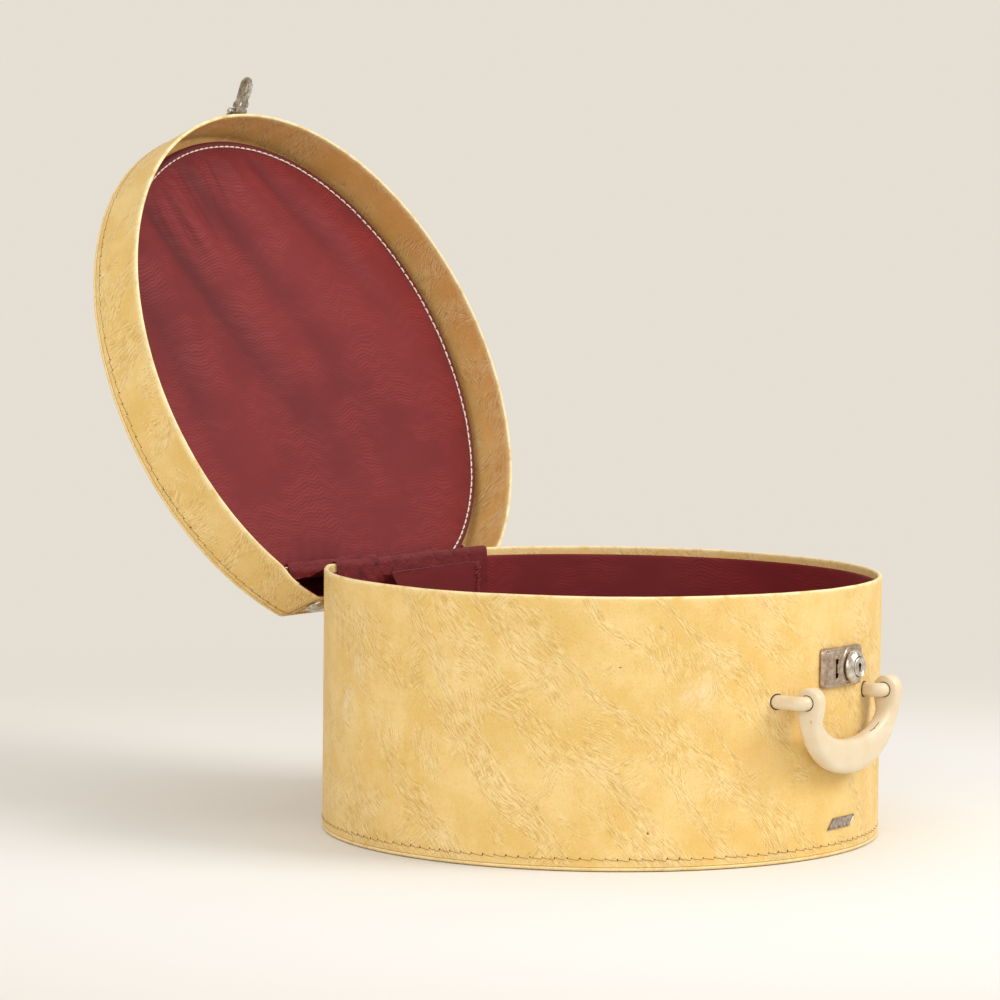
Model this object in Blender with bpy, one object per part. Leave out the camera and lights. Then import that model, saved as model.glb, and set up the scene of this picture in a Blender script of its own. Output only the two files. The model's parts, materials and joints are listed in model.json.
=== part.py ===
"""Hat box: a round case with a flat back, a hinged lid held by a hasp and a sliding key lock, and a swinging handle.

The scene is in metres, +Z up, origin at the centre of the base's underside.
-Y is the front with the lock, +Y the flat hinge side. Sizes here are in millimetres.
Lid and hasp pieces are described where they lie with the lid and hasp shut.
They hang on empties at their pivots, which turn them open.
"""

import math
from typing import NamedTuple

import bmesh
import bpy
from mathutils import Matrix, Vector

MM = 0.001

# Base shell. A "flat" is the y of the straight side of a D-shaped outline.
BASE_R = 200.0
BASE_FLAT = 174.0
WALL = 3.0
BOTTOM_T = 2.2
RIM_Z = 185.8
EDGE_LAP = 0.3  # how far the bottom and the lid's top stand proud of their walls
SEAM_GAP = 0.3
OUTLINE_STEPS = 60
SHARP_DEG = 35

# Base lining
LINING_GAP = 0.3
LINING_T = 1.0
LINING_TOP = 177.5
LINING_R = BASE_R - WALL - LINING_GAP
LINING_FLAT = BASE_FLAT - WALL - LINING_GAP
LINING_IN_R = LINING_R - LINING_T
LINING_IN_FLAT = LINING_FLAT - LINING_T
GUSSET_Y = LINING_IN_FLAT - 0.4

# Lid shell, as it lies shut
LID_CLEARANCE = 4.6
LID_R = BASE_R + LID_CLEARANCE
LID_FLAT = BASE_FLAT + LID_CLEARANCE
LID_WALL = 2.4
LID_RIM = 146.5
LID_RELIEF = 150.3
LID_TOP_UNDER = 188.4
LID_TOP = 190.7

# Hinge
HINGE_Y, HINGE_Z = 182.6, 155.2
OPEN_DEG = 113.6
HINGE_X = 55.0

# Lock
PLATE_X0, PLATE_X1 = -26.0, 25.0
PLATE_Z0, PLATE_Z1 = 117.4, 144.8
PLATE_Y = -203.6
SLOT_X = -11.0
KNOB_X, LOCK_Z = 10.0, 130.4
KNOB_Y = PLATE_Y - 0.4

# Hasp
HASP_X, HASP_Y, HASP_Z = -9.5, -207.7, 149.8
HASP_OUT_DEG = 48.0

# Handle
HANDLE_Y, HANDLE_Z = -209.0, 111.5
EYE_LEFT_X, EYE_RIGHT_X = -54.0, 49.0
EYE_T = 11.5
POST_R = 4.9
POST_LEFT_X, POST_RIGHT_X = -65.4, 37.7


# ---------------------------------------------------------------- materials
class Surface(NamedTuple):
    colour: tuple
    roughness: float
    metallic: float = 0.0


LEATHERETTE = Surface(colour=(0.72, 0.47, 0.19), roughness=0.5)
LEATHERETTE_MATT = LEATHERETTE._replace(roughness=0.55)
BURGUNDY = Surface(colour=(0.20, 0.028, 0.035), roughness=0.45)
BURGUNDY_DARK = Surface(colour=(0.13, 0.018, 0.024), roughness=0.5)
IVORY = Surface(colour=(0.87, 0.74, 0.52), roughness=0.3)
METAL = Surface(colour=(0.36, 0.31, 0.26), roughness=0.4, metallic=0.9)
METAL_SMOOTH = METAL._replace(roughness=0.35)
METAL_DULL = METAL._replace(metallic=0.8)
METAL_BRIGHT = Surface(colour=(0.62, 0.57, 0.50), roughness=0.3, metallic=0.9)
METAL_STAPLE = METAL_BRIGHT._replace(roughness=0.35)
STEEL = Surface(colour=(0.42, 0.40, 0.38), roughness=0.4, metallic=0.9)
STEEL_SMOOTH = STEEL._replace(roughness=0.35)
STEEL_DULL = STEEL._replace(roughness=0.5, metallic=0.8)


def make_material(name, surface):
    mat = bpy.data.materials.new(name)
    mat.use_nodes = True
    shader = mat.node_tree.nodes["Principled BSDF"]
    shader.inputs["Base Color"].default_value = (*surface.colour, 1.0)
    shader.inputs["Roughness"].default_value = surface.roughness
    shader.inputs["Metallic"].default_value = surface.metallic
    return mat


# ---------------------------------------------------------------- objects
for old in list(bpy.data.objects):
    bpy.data.objects.remove(old, do_unlink=True)

SCENE = bpy.context.scene.collection
PIVOTS = {}  # axis name -> its place with the lid and hasp shut


def make_axis(name, pivot, turn_deg, parent=None):
    """An empty at a pivot, turned about X."""
    axis = bpy.data.objects.new(name, None)
    SCENE.objects.link(axis)
    axis.parent = parent
    PIVOTS[name] = Vector(pivot)
    parent_pivot = PIVOTS[parent.name] if parent else Vector()
    axis.location = (PIVOTS[name] - parent_pivot) * MM
    axis.rotation_euler = (math.radians(turn_deg), 0, 0)
    return axis


lid_axis = make_axis("lid_axis", (0, HINGE_Y, HINGE_Z), -OPEN_DEG)
hasp_axis = make_axis("hasp_axis", (0, HASP_Y, HASP_Z), -HASP_OUT_DEG, parent=lid_axis)


def link_mesh(bm, name, parent):
    """Links a solid in millimetres. On an axis, it is moved to lie about the axis's pivot."""
    if parent is not None:
        moved(bm, -PIVOTS[parent.name])
    bmesh.ops.remove_doubles(bm, verts=bm.verts, dist=1e-4)
    bmesh.ops.recalc_face_normals(bm, faces=bm.faces)
    bmesh.ops.scale(bm, vec=(MM, MM, MM), verts=bm.verts)
    mesh = bpy.data.meshes.new(name)
    bm.to_mesh(mesh)
    bm.free()
    obj = bpy.data.objects.new(name, mesh)
    SCENE.objects.link(obj)
    obj.parent = parent
    return obj


def piece(bm, name, surface, parent=None, smooth=True, location=(0, 0, 0), rotation=(0, 0, 0)):
    """Turns a solid into a named object with its own material."""
    obj = link_mesh(bm, name, parent)
    obj.data.materials.append(make_material(name, surface))
    if smooth:
        obj.data.shade_smooth()
        obj.data.set_sharp_from_angle(angle=math.radians(SHARP_DEG))
    obj.location = Vector(location) * MM
    obj.rotation_euler = rotation
    return obj


def boolean(obj, bm, operation, prefix):
    """Adds a boolean with a hidden helper that lies in the same space as the piece."""
    helper = link_mesh(bm, prefix + obj.name, obj.parent)
    helper.hide_render = True
    helper.display_type = "WIRE"
    helper.location = obj.location
    helper.rotation_euler = obj.rotation_euler
    mod = obj.modifiers.new(operation.lower(), "BOOLEAN")
    mod.operation = operation
    mod.solver = "EXACT"
    mod.object = helper


def cut(obj, bm):
    boolean(obj, bm, "DIFFERENCE", "cutter_")


def join(obj, bm):
    boolean(obj, bm, "UNION", "joined_")


def keep(obj, bm):
    boolean(obj, bm, "INTERSECT", "kept_")


# ---------------------------------------------------------------- outlines
def arc(u, v, radius, start, sweep, steps):
    """Points on an arc about (u, v), with angles in degrees from +u towards +v."""
    angles = [math.radians(start + sweep * i / steps) for i in range(steps + 1)]
    return [(u + radius * math.cos(a), v + radius * math.sin(a)) for a in angles]


def offset(points, u, v):
    return [(pu + u, pv + v) for pu, pv in points]


def d_outline(radius, flat):
    """A circle with its +Y side cut straight at y = flat, from the left back corner round."""
    corner = math.degrees(math.asin(flat / radius))
    return arc(0, 0, radius, 180 - corner, 180 + 2 * corner, OUTLINE_STEPS)


def round_rect(x0, x1, z0, z1, radius, steps=4):
    left, right, low, high = x0 + radius, x1 - radius, z0 + radius, z1 - radius
    corners = ((right, high, 0), (left, high, 90), (left, low, 180), (right, low, 270))
    points = []
    for x, z, start in corners:
        points += arc(x, z, radius, start, 90, steps)
    return points


def stretched_round(x0, x1, z, radius, steps=8):
    """An outline with two round ends, between centres x0 and x1 at height z."""
    return arc(x1, z, radius, -90, 180, steps) + arc(x0, z, radius, 90, 180, steps)


def wall_y(radius, x):
    """Where the front of a round wall stands at x."""
    return -math.sqrt(radius * radius - x * x)


# ---------------------------------------------------------------- solids
def loft(sections, closed=False):
    """A solid through sections with equal point counts, capped unless the last joins the first."""
    bm = bmesh.new()
    rows = [[bm.verts.new(point) for point in section] for section in sections]
    n = len(rows[0])
    pairs = list(zip(rows, rows[1:])) + ([(rows[-1], rows[0])] if closed else [])
    for a, b in pairs:
        for i in range(n):
            j = (i + 1) % n
            bm.faces.new((a[i], a[j], b[j], b[i]))
    if not closed:
        bm.faces.new(list(reversed(rows[0])))
        bm.faces.new(rows[-1])
    return bm


def prism(outline, z0, z1):
    """A solid on an (x, y) outline."""
    return loft([[(x, y, z) for x, y in outline] for z in (z0, z1)])


def side_prism(outline, x0, x1):
    """A solid on a (y, z) outline."""
    return loft([[(x, y, z) for y, z in outline] for x in (x0, x1)])


def front_prism(outline, y0, y1):
    """A solid on an (x, z) outline."""
    return loft([[(x, y, z) for x, z in outline] for y in (y0, y1)])


def box(x0, x1, y0, y1, z0, z1):
    return prism([(x0, y0), (x1, y0), (x1, y1), (x0, y1)], z0, z1)


def d_wall(radius, flat, thickness, z0, z1):
    """An upright wall on a D outline, open at top and bottom."""
    outer = d_outline(radius, flat)
    inner = d_outline(radius - thickness, flat - thickness)
    corners = ((outer, z0), (outer, z1), (inner, z1), (inner, z0))
    return loft([[(x, y, z) for x, y in outline] for outline, z in corners], closed=True)


def lathe(profile, steps=18, ring=False):
    """A solid turned about Z from (radius, height) points.

    A profile that is not a ring starts and ends on the axis.
    """
    bm = bmesh.new()
    rings = []
    for radius, height in profile:
        if radius <= 0:
            rings.append([bm.verts.new((0, 0, height))])
        else:
            circle = arc(0, 0, radius, 0, 360, steps)[:-1]
            rings.append([bm.verts.new((x, y, height)) for x, y in circle])
    pairs = list(zip(rings, rings[1:])) + ([(rings[-1], rings[0])] if ring else [])
    for a, b in pairs:
        for i in range(steps):
            j = (i + 1) % steps
            # A ring of one vertex repeats it, so repeats are dropped
            quad = (a[i % len(a)], a[j % len(a)], b[j % len(b)], b[i % len(b)])
            face = list(dict.fromkeys(quad))
            if len(face) > 2:
                bm.faces.new(face)
    return bm


def cylinder(radius, z0, z1, steps=18):
    return lathe([(0, z0), (radius, z0), (radius, z1), (0, z1)], steps)


def moved(bm, by):
    bmesh.ops.translate(bm, vec=Vector(by), verts=bm.verts)
    return bm


def turned(bm, direction, at):
    """Turns a solid's local +Z to a direction and moves it to a point."""
    rotation = Vector(direction).normalized().to_track_quat("Z", "Y").to_matrix().to_4x4()
    bmesh.ops.transform(bm, matrix=Matrix.Translation(Vector(at)) @ rotation, verts=bm.verts)
    return bm


def rod_x(radius, x0, x1, y, z, steps=18):
    return turned(cylinder(radius, 0, x1 - x0, steps), (1, 0, 0), (x0, y, z))


def rod_y(radius, x, z, y0, y1, steps=18):
    return turned(cylinder(radius, 0, y1 - y0, steps), (0, 1, 0), (x, y0, z))


def headed_pin(radius, head_radius, length, gap, at, steps):
    """A pin along +X with a flat head standing a gap beyond each end of the length."""
    head_t = 0.5
    start = [(0, -gap - head_t), (head_radius, -gap - head_t), (head_radius, -gap), (radius, -gap)]
    end = [(r, length - height) for r, height in reversed(start)]
    return turned(lathe(start + end, steps), (1, 0, 0), at)


# ---------------------------------------------------------------- base
def cut_front_openings(shell, window_back, hole_radius, hole_back):
    """The window for the lock case and the holes for the handle posts."""
    window = round_rect(-24, 24, 118.4, 142.6, radius=1.5, steps=2)
    cut(shell, front_prism(window, -206, window_back))
    for x in (POST_LEFT_X, POST_RIGHT_X):
        cut(shell, rod_y(hole_radius, x, HANDLE_Z, -210, hole_back))


def base_shell():
    bottom = prism(d_outline(BASE_R + EDGE_LAP, BASE_FLAT + EDGE_LAP), 0, BOTTOM_T)
    piece(bottom, "base_bottom", LEATHERETTE_MATT)
    wall = d_wall(BASE_R, BASE_FLAT, WALL, BOTTOM_T + SEAM_GAP, RIM_Z)
    wall = piece(wall, "base_wall", LEATHERETTE)
    cut_front_openings(wall, window_back=-190, hole_radius=POST_R + 0.35, hole_back=-178)
    return wall


def base_lining():
    floor_z = BOTTOM_T + SEAM_GAP
    floor_top = floor_z + LINING_T
    wall = d_wall(LINING_R, LINING_FLAT, LINING_T, floor_top + SEAM_GAP, LINING_TOP)
    wall = piece(wall, "base_lining_wall", BURGUNDY)
    cut_front_openings(wall, window_back=-188, hole_radius=4.1, hole_back=-170)
    floor = prism(d_outline(LINING_R, LINING_FLAT), floor_z, floor_top)
    piece(floor, "base_lining_floor", BURGUNDY)


def gusset():
    """Cloth that lies down the inside of the flat back and folds over the rim."""
    half_width = 92.0
    low_z = 138
    fold_y = BASE_FLAT - 0.4
    outline = [
        (GUSSET_Y, low_z),
        (GUSSET_Y, RIM_Z + 0.3),
        (fold_y, RIM_Z + 0.3),
        (fold_y, RIM_Z + 1.1),
        (GUSSET_Y - 0.2, RIM_Z + 1.1),
        (GUSSET_Y - 0.8, RIM_Z + 0.5),
        (GUSSET_Y - 0.8, low_z),
    ]
    piece(side_prism(outline, -half_width, half_width), "hinge_gusset", BURGUNDY_DARK)


def pocket():
    """A cloth panel that stands furthest off the back wall at its left end, folded back below."""
    left_x, width, steps = -43, 119, 8
    left_y, slant, slant_steps = 157, 7.5, 6
    low_z, high_z, thickness = 85, 177, 1
    back_y = GUSSET_Y + 0.2
    sections = []
    for i in range(steps + 1):
        x = left_x + width * i / steps
        front_y = left_y + slant * min(1.0, i / slant_steps)
        sections.append([
            (x, front_y, low_z),
            (x, back_y, low_z),
            (x, back_y, low_z + thickness),
            (x, front_y + thickness, low_z + thickness),
            (x, front_y + thickness, high_z),
            (x, front_y, high_z),
        ])
    piece(loft(sections), "pocket_panel", BURGUNDY_DARK)


def name_plate():
    """A plain curved plate low on the front."""
    start, sweep, steps = -94.3, 10.6, 8
    outline = arc(0, 0, 201.3, start, sweep, steps)
    outline += arc(0, 0, 200.35, start + sweep, -sweep, steps)
    piece(prism(outline, 18.0, 26.0), "name_plate", METAL_DULL)


# ---------------------------------------------------------------- lock
ROUND_CUT_STEPS = 240  # fine steps where a flat solid is shaped to the round wall

# Knob with its hollow stem: a ring of (radius, height) points
KNOB_PROFILE = [
    (4.3, -3.6), (4.3, 3.0), (7.2, 3.0), (7.2, 4.9), (7.9, 5.1), (8.8, 4.6),
    (10.4, 3.2), (11.6, 1.5), (11.6, 0.0), (5.0, 0.0), (5.0, -3.6),
]
# Key barrel: (radius, height)
KEY_PROFILE = [
    (0, -3.6), (3.9, -3.6), (3.9, 3.3), (6.85, 3.3), (6.85, 5.3), (6.4, 5.7), (0, 5.7),
]


def lock_plate():
    slide_travel = 5.0
    rim = 1.1
    outline = round_rect(PLATE_X0, PLATE_X1, PLATE_Z0, PLATE_Z1, radius=3.5)
    plate = piece(front_prism(outline, PLATE_Y, -194), "lock_plate", METAL_SMOOTH)
    bevel = plate.modifiers.new("edge", "BEVEL")
    bevel.width = 0.9 * MM
    bevel.segments = 2
    bevel.limit_method = "ANGLE"
    bevel.angle_limit = math.radians(60)
    # The back follows the wall and is hollow inside a rim
    cut(plate, cylinder(BASE_R + 0.35, 100, 160, ROUND_CUT_STEPS))
    hollow = round_rect(PLATE_X0 + rim, PLATE_X1 - rim, PLATE_Z0 + rim, PLATE_Z1 - rim, radius=1.0)
    cut(plate, front_prism(hollow, PLATE_Y + 1.2, -190))
    # Upright slot for the staple, then a level one for the knob's stem
    staple_slot = round_rect(SLOT_X - 1.4, SLOT_X + 1.4, 123.4, 136.9, radius=1.3)
    stem_slot = stretched_round(KNOB_X, KNOB_X + slide_travel, LOCK_Z, radius=5.35)
    for slot in (staple_slot, stem_slot):
        cut(plate, front_prism(slot, PLATE_Y - 5, PLATE_Y + 5))


def lock_case():
    """A tray open to the front, and the cover over it inside the box."""
    case = box(-23.4, 23.4, -199.4, -188.6, 119.0, 142.0)
    case = piece(case, "lock_case", STEEL_DULL, smooth=False)
    cut(case, box(-22.4, 22.4, -205, -189.6, 120.0, 141.0))

    cover = piece(box(-26, 26, -200, -186.6, 116, 145), "lock_cover", BURGUNDY_DARK, smooth=False)
    keep(cover, cylinder(LINING_IN_R - 0.4, 110, 150, ROUND_CUT_STEPS))
    cut(cover, box(-24.6, 24.6, -210, -188.0, 117.4, 143.6))


def lock_spring():
    """A bowed leaf spring in the floor of the lock case, under the slide."""
    half_length, end_z, bow, thickness, steps = 12, 121.3, 1.6, 0.5, 8
    top = [
        (-half_length + 2 * half_length * i / steps, end_z + bow * math.sin(math.pi * i / steps))
        for i in range(steps + 1)
    ]
    under = [(x, z - thickness) for x, z in reversed(top)]
    piece(front_prism(top + under, -198.6, -193.6), "lock_spring", STEEL)


def lock_slide():
    """The sliding plate, the bolt finger that runs through the staple, and the knob."""
    front_y, back_y = PLATE_Y + 1.8, PLATE_Y + 3.0
    slide = box(-8.5, 17.0, front_y, back_y, 124.6, 136.6)
    slide = piece(slide, "lock_slide", METAL_BRIGHT)
    join(slide, box(-14.5, -8.0, front_y, back_y, LOCK_Z - 1.5, LOCK_Z + 1.5))
    cut(slide, rod_y(4.6, KNOB_X, LOCK_Z, PLATE_Y + 1.0, PLATE_Y + 9, 24))
    knob = lathe(KNOB_PROFILE, 32, ring=True)
    join(slide, turned(knob, (0, -1, 0), (KNOB_X, KNOB_Y, LOCK_Z)))


def key_barrel():
    """A stem in the knob with a wide head let into the knob's face and a keyhole."""
    barrel = piece(
        lathe(KEY_PROFILE, 28), "key_cylinder", METAL_BRIGHT,
        location=(KNOB_X, KNOB_Y, LOCK_Z), rotation=(math.radians(90), 0, 0),
    )
    hole_floor, hole_top = 2.2, 9
    cut(barrel, moved(cylinder(1.35, hole_floor, hole_top, 16), (0, 1.0, 0)))
    cut(barrel, box(-0.6, 0.6, -3.0, 1.2, hole_floor, hole_top))


# ---------------------------------------------------------------- handle
STEM_R = 3.6
WASHER_R = 8.0
# Rings of (radius, height)
WASHER_PROFILE = [(3.95, 0), (WASHER_R, 0), (WASHER_R, 0.7), (7.6, 1.0), (3.95, 1.0)]
CAP_PROFILE = [(3.5, 0), (6.8, 0), (6.8, 1.0), (6.3, 1.5), (3.5, 1.5)]


def handle_post(side, post_x, eye_x):
    """A post that comes out of the wall and bends to +X through the handle's eye."""
    washer_y = wall_y(LINING_IN_R, abs(post_x) + WASHER_R) + 1.2
    shoulder_y = wall_y(BASE_R, post_x) + 1.8
    bend, bend_steps = 5.2, 5
    eye_end = eye_x + EYE_T / 2
    tip_r = 3.2
    # (x, y, direction x, direction y, radius)
    path = [
        (post_x, washer_y + 2.6, 0, -1, STEM_R),
        (post_x, shoulder_y, 0, -1, STEM_R),
        (post_x, shoulder_y, 0, -1, POST_R),
    ]
    for i in range(bend_steps + 1):
        angle = math.radians(90 * i / bend_steps)
        sine, cosine = math.sin(angle), math.cos(angle)
        x = post_x + bend - bend * cosine
        y = HANDLE_Y + bend - bend * sine
        path.append((x, y, sine, -cosine, POST_R))
    path += [
        (eye_end + 0.4, HANDLE_Y, 1, 0, POST_R),
        (eye_end + 0.4, HANDLE_Y, 1, 0, tip_r),
        (eye_end + 3.0, HANDLE_Y, 1, 0, tip_r),
    ]
    sections = [
        [
            (x - dir_y * across, y + dir_x * across, HANDLE_Z + up)
            for across, up in arc(0, 0, radius, 0, 360, 18)[:-1]
        ]
        for x, y, dir_x, dir_y, radius in path
    ]
    piece(loft(sections), "handle_post_" + side, IVORY)

    washer = lathe(WASHER_PROFILE, 16, ring=True)
    washer = turned(washer, (0, 1, 0), (post_x, washer_y, HANDLE_Z))
    piece(washer, "handle_washer_" + side, STEEL)
    cap = lathe(CAP_PROFILE, 16, ring=True)
    cap = turned(cap, (1, 0, 0), (eye_end + 0.9, HANDLE_Y, HANDLE_Z))
    piece(cap, "handle_cap_" + side, IVORY)


def grip_section(inner, outer, half_y, power, steps=14):
    """A superellipse between an inner and an outer (x, z) point, about y = 0."""
    middle = (Vector(outer) + Vector(inner)) / 2
    half = (Vector(outer) - Vector(inner)) / 2
    points = []
    for k in range(steps):
        angle = 2 * math.pi * k / steps
        cosine, sine = math.cos(angle), math.sin(angle)
        along = math.copysign(abs(cosine) ** (2 / power), cosine)
        across = math.copysign(abs(sine) ** (2 / power), sine)
        points.append((middle.x + half.x * along, half_y * across, middle.y + half.y * along))
    return points


def handle():
    """A U-shaped grip with an eye at each end, drawn about a point level with its pivot."""
    eye_r, eye_hole = 10.0, 5.25
    eye_angles = [math.radians(a) for a in (72, 50, 28, 6, -20)]
    middle_x = (EYE_LEFT_X + EYE_RIGHT_X) / 2
    outer_half = (EYE_RIGHT_X - EYE_LEFT_X) / 2 + EYE_T / 2
    inner_half = outer_half - EYE_T
    bend_z = 104.0 - HANDLE_Z  # where the straight ends meet the U
    outer_drop = 104.0 - 57.8
    inner_drop = outer_drop - 24.0
    bend_steps = 16

    def eye_rows(side):
        """Sections of one eye, from its top down; side is -1 for left and 1 for right."""
        return [
            grip_section(
                (middle_x + side * inner_half, eye_r * math.sin(angle)),
                (middle_x + side * outer_half, eye_r * math.sin(angle)),
                half_y=eye_r * math.cos(angle), power=5.0,
            )
            for angle in eye_angles
        ]

    rows = eye_rows(-1)
    for i in range(bend_steps + 1):
        angle = math.pi + math.pi * i / bend_steps
        cosine, sine = math.cos(angle), math.sin(angle)
        bulge = -1.5 * math.sin(2 * angle)
        rows.append(grip_section(
            (middle_x + inner_half * cosine, bend_z + inner_drop * sine),
            (middle_x + outer_half * cosine + bulge, bend_z + outer_drop * sine),
            half_y=6.9 + 0.5 * sine, power=2.7,
        ))
    rows += reversed(eye_rows(1))
    grip = piece(loft(rows), "handle", IVORY, location=(0, HANDLE_Y, HANDLE_Z))
    for x in (EYE_LEFT_X, EYE_RIGHT_X):
        cut(grip, rod_x(eye_hole, x - 12, x + 12, 0, 0, 20))


# ---------------------------------------------------------------- lid
PANEL_R = 195.3
PANEL_BACK = 151.5
PANEL_LOW = 176.0
PANEL_EDGE_Z = PANEL_LOW + 2.6
# (inset, z) of the lining panel's sections, outside from the top down
PANEL_OUTSIDE = [
    (0.0, LID_TOP_UNDER - 0.4), (0.0, PANEL_EDGE_Z), (2.2, PANEL_LOW + 0.7),
    (7.0, PANEL_LOW), (60.0, PANEL_LOW - 0.6),
]
# (inset, z) of the hollow in its upper side
PANEL_HOLLOW = [(2.6, LID_TOP_UNDER + 4), (2.6, PANEL_LOW + 4.2), (6.0, PANEL_LOW + 2.8)]

# (radius, height)
STUD_PROFILE = [(0, 0), (10.6, 0), (10.6, 0.8), (9.6, 2.2), (7.4, 3.6), (4.4, 4.6), (0, 5.0)]


def lid_shell():
    top = prism(d_outline(LID_R + EDGE_LAP, LID_FLAT + EDGE_LAP), LID_TOP_UNDER, LID_TOP)
    piece(top, "lid_top", LEATHERETTE_MATT, lid_axis)
    band = d_wall(LID_R, LID_FLAT, LID_WALL, LID_RIM, LID_TOP_UNDER - SEAM_GAP)
    band = piece(band, "lid_band", LEATHERETTE, lid_axis)
    # The band's lower edge is cut away along the flat so that it swings clear of the base
    cut(band, box(-113, 113, 155, 190, 140, LID_RELIEF))
    return band


def panel_section(inset, z, outline_z):
    """A level section, drawn in at its back corners to swing up past the base's rim.

    The clearance is worked out at outline_z.
    """
    rim_rise = RIM_Z + 0.4 - HINGE_Z
    points = []
    for x, y in d_outline(PANEL_R - inset, PANEL_BACK - inset):
        wall = min(BASE_FLAT - WALL, -wall_y(BASE_R - WALL, x))
        rim_run = HINGE_Y - wall + 1.0
        reach = math.sqrt(rim_run ** 2 + rim_rise ** 2 - (outline_z - HINGE_Z) ** 2)
        points.append((x, min(y, HINGE_Y - reach - inset), z))
    return points


def lid_lining():
    """A padded panel: a low cushion below, a shallow tray open towards the lid's top."""
    outside = [panel_section(inset, z, min(z, PANEL_EDGE_Z)) for inset, z in PANEL_OUTSIDE]
    # The outside's top sections keep their height
    panel = piece(loft([
        [(x, y, min(z, PANEL_EDGE_Z)) for x, y, z in section] for section in outside
    ]), "lid_lining", BURGUNDY, lid_axis) if False else piece(
        loft(outside), "lid_lining", BURGUNDY, lid_axis,
    )
    cut(panel, loft([panel_section(inset, z, PANEL_EDGE_Z) for inset, z in PANEL_HOLLOW]))


def lid_back():
    """The strip on the lid's flat back, and a domed stud near each end of it."""
    strip = box(-96, 96, LID_FLAT + 0.3, LID_FLAT + 0.9, 152.5, 184)
    strip = piece(strip, "lid_back_strip", LEATHERETTE, lid_axis, smooth=False)
    for side, x in (("left", -86.0), ("right", 86.0)):
        stud = turned(lathe(STUD_PROFILE, 20), (0, 1, 0), (x, LID_FLAT + 1.2, 163))
        piece(stud, "lid_stud_" + side, METAL_SMOOTH, lid_axis)
    return strip


# ---------------------------------------------------------------- hinges
LEAF_W = 30.0
LEAF_T = 1.2
LEAF_Y = LID_FLAT + 1.2
BARREL_R = 2.6
PIN_HOLE_R = 1.55
KNUCKLE = 5.0  # half the length of the middle knuckle
KNUCKLE_GAP = 0.2
RIVET_HOLE_R = 1.7
RIVET_STEM_R = 1.4
RIVET_HEAD = [(RIVET_STEM_R, 0.3), (2.8, 0.3), (2.6, 1.0), (1.6, 1.6), (0, 1.8)]  # (radius, height)

# Base leaf, (y, z): flat on the wall, then cranked out under the lid's edge to the barrel
BASE_LEAF = [
    (BASE_FLAT + 0.3, 114), (BASE_FLAT + 1.5, 114), (BASE_FLAT + 1.5, 142.5),
    (HINGE_Y + 1.2, 152.8), (HINGE_Y + 1.2, 154.6), (HINGE_Y - 0.6, 154.6),
    (HINGE_Y - 0.6, 153.2), (BASE_FLAT + 0.3, 143.4),
]


def hinge_rod(radius, x0, x1):
    return rod_x(radius, x0, x1, HINGE_Y, HINGE_Z)


def hinge_rivet(name, depth, x, y, z, parent=None):
    profile = [(0, -depth), (RIVET_STEM_R, -depth)] + RIVET_HEAD
    piece(turned(lathe(profile, 12), (0, 1, 0), (x, y, z)), name, METAL_SMOOTH, parent)


def base_leaf(side, centre_x):
    x0, x1 = centre_x - LEAF_W / 2, centre_x + LEAF_W / 2
    gap_x0, gap_x1 = centre_x - KNUCKLE - KNUCKLE_GAP, centre_x + KNUCKLE + KNUCKLE_GAP
    leaf = piece(side_prism(BASE_LEAF, x0, x1), "hinge_base_leaf_" + side, METAL)
    cut(leaf, hinge_rod(BARREL_R + 0.35, gap_x0, gap_x1))
    join(leaf, hinge_rod(BARREL_R, x0, gap_x0))
    join(leaf, hinge_rod(BARREL_R, gap_x1, x1))
    cut(leaf, hinge_rod(PIN_HOLE_R, x0 - 2, x1 + 2))
    return leaf


def lid_leaf(side, centre_x):
    x0, x1 = centre_x - LEAF_W / 2, centre_x + LEAF_W / 2
    knuckle_x0, knuckle_x1 = centre_x - KNUCKLE + KNUCKLE_GAP, centre_x + KNUCKLE - KNUCKLE_GAP
    leaf = box(x0, x1, LEAF_Y, LEAF_Y + LEAF_T, HINGE_Z + 0.4, 181)
    leaf = piece(leaf, "hinge_lid_leaf_" + side, METAL, lid_axis)
    # Room for the base leaf's knuckles
    for notch_x0, notch_x1 in ((x0 - 1, knuckle_x0), (knuckle_x1, x1 + 1)):
        notch_top = HINGE_Z + BARREL_R + 0.5
        cut(leaf, box(notch_x0, notch_x1, HINGE_Y - 6, HINGE_Y + 6, HINGE_Z - 5, notch_top))
    join(leaf, hinge_rod(BARREL_R, knuckle_x0, knuckle_x1))
    cut(leaf, hinge_rod(PIN_HOLE_R, x0, x1))
    return leaf


def hinge(side, centre_x, base_wall, back_strip):
    on_base = base_leaf(side, centre_x)
    on_lid = lid_leaf(side, centre_x)
    pin_at = (centre_x - LEAF_W / 2, HINGE_Y, HINGE_Z)
    pin = headed_pin(1.25, 2.0, LEAF_W, gap=0.3, at=pin_at, steps=14)
    piece(pin, "hinge_pin_" + side, STEEL_SMOOTH)

    base_z, lid_z = 124, 173.0
    hole_end = BASE_FLAT + 8
    for tag, x in (("a", centre_x - 9.0), ("b", centre_x + 9.0)):
        name = "rivet_%s_%s" % (side, tag)
        cut(on_base, rod_y(RIVET_HOLE_R, x, base_z, BASE_FLAT - 5, hole_end, 10))
        cut(base_wall, rod_y(RIVET_HOLE_R, x, base_z, BASE_FLAT - 2.4, hole_end, 10))
        hinge_rivet("hinge_base_" + name, 2.0, x, BASE_FLAT + 1.5, base_z)
        for drilled in (on_lid, back_strip):
            cut(drilled, rod_y(RIVET_HOLE_R, x, lid_z, LEAF_Y - 5, LEAF_Y + 8, 10))
        hinge_rivet("hinge_lid_" + name, 1.7, x, LEAF_Y + LEAF_T, lid_z, lid_axis)


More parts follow.
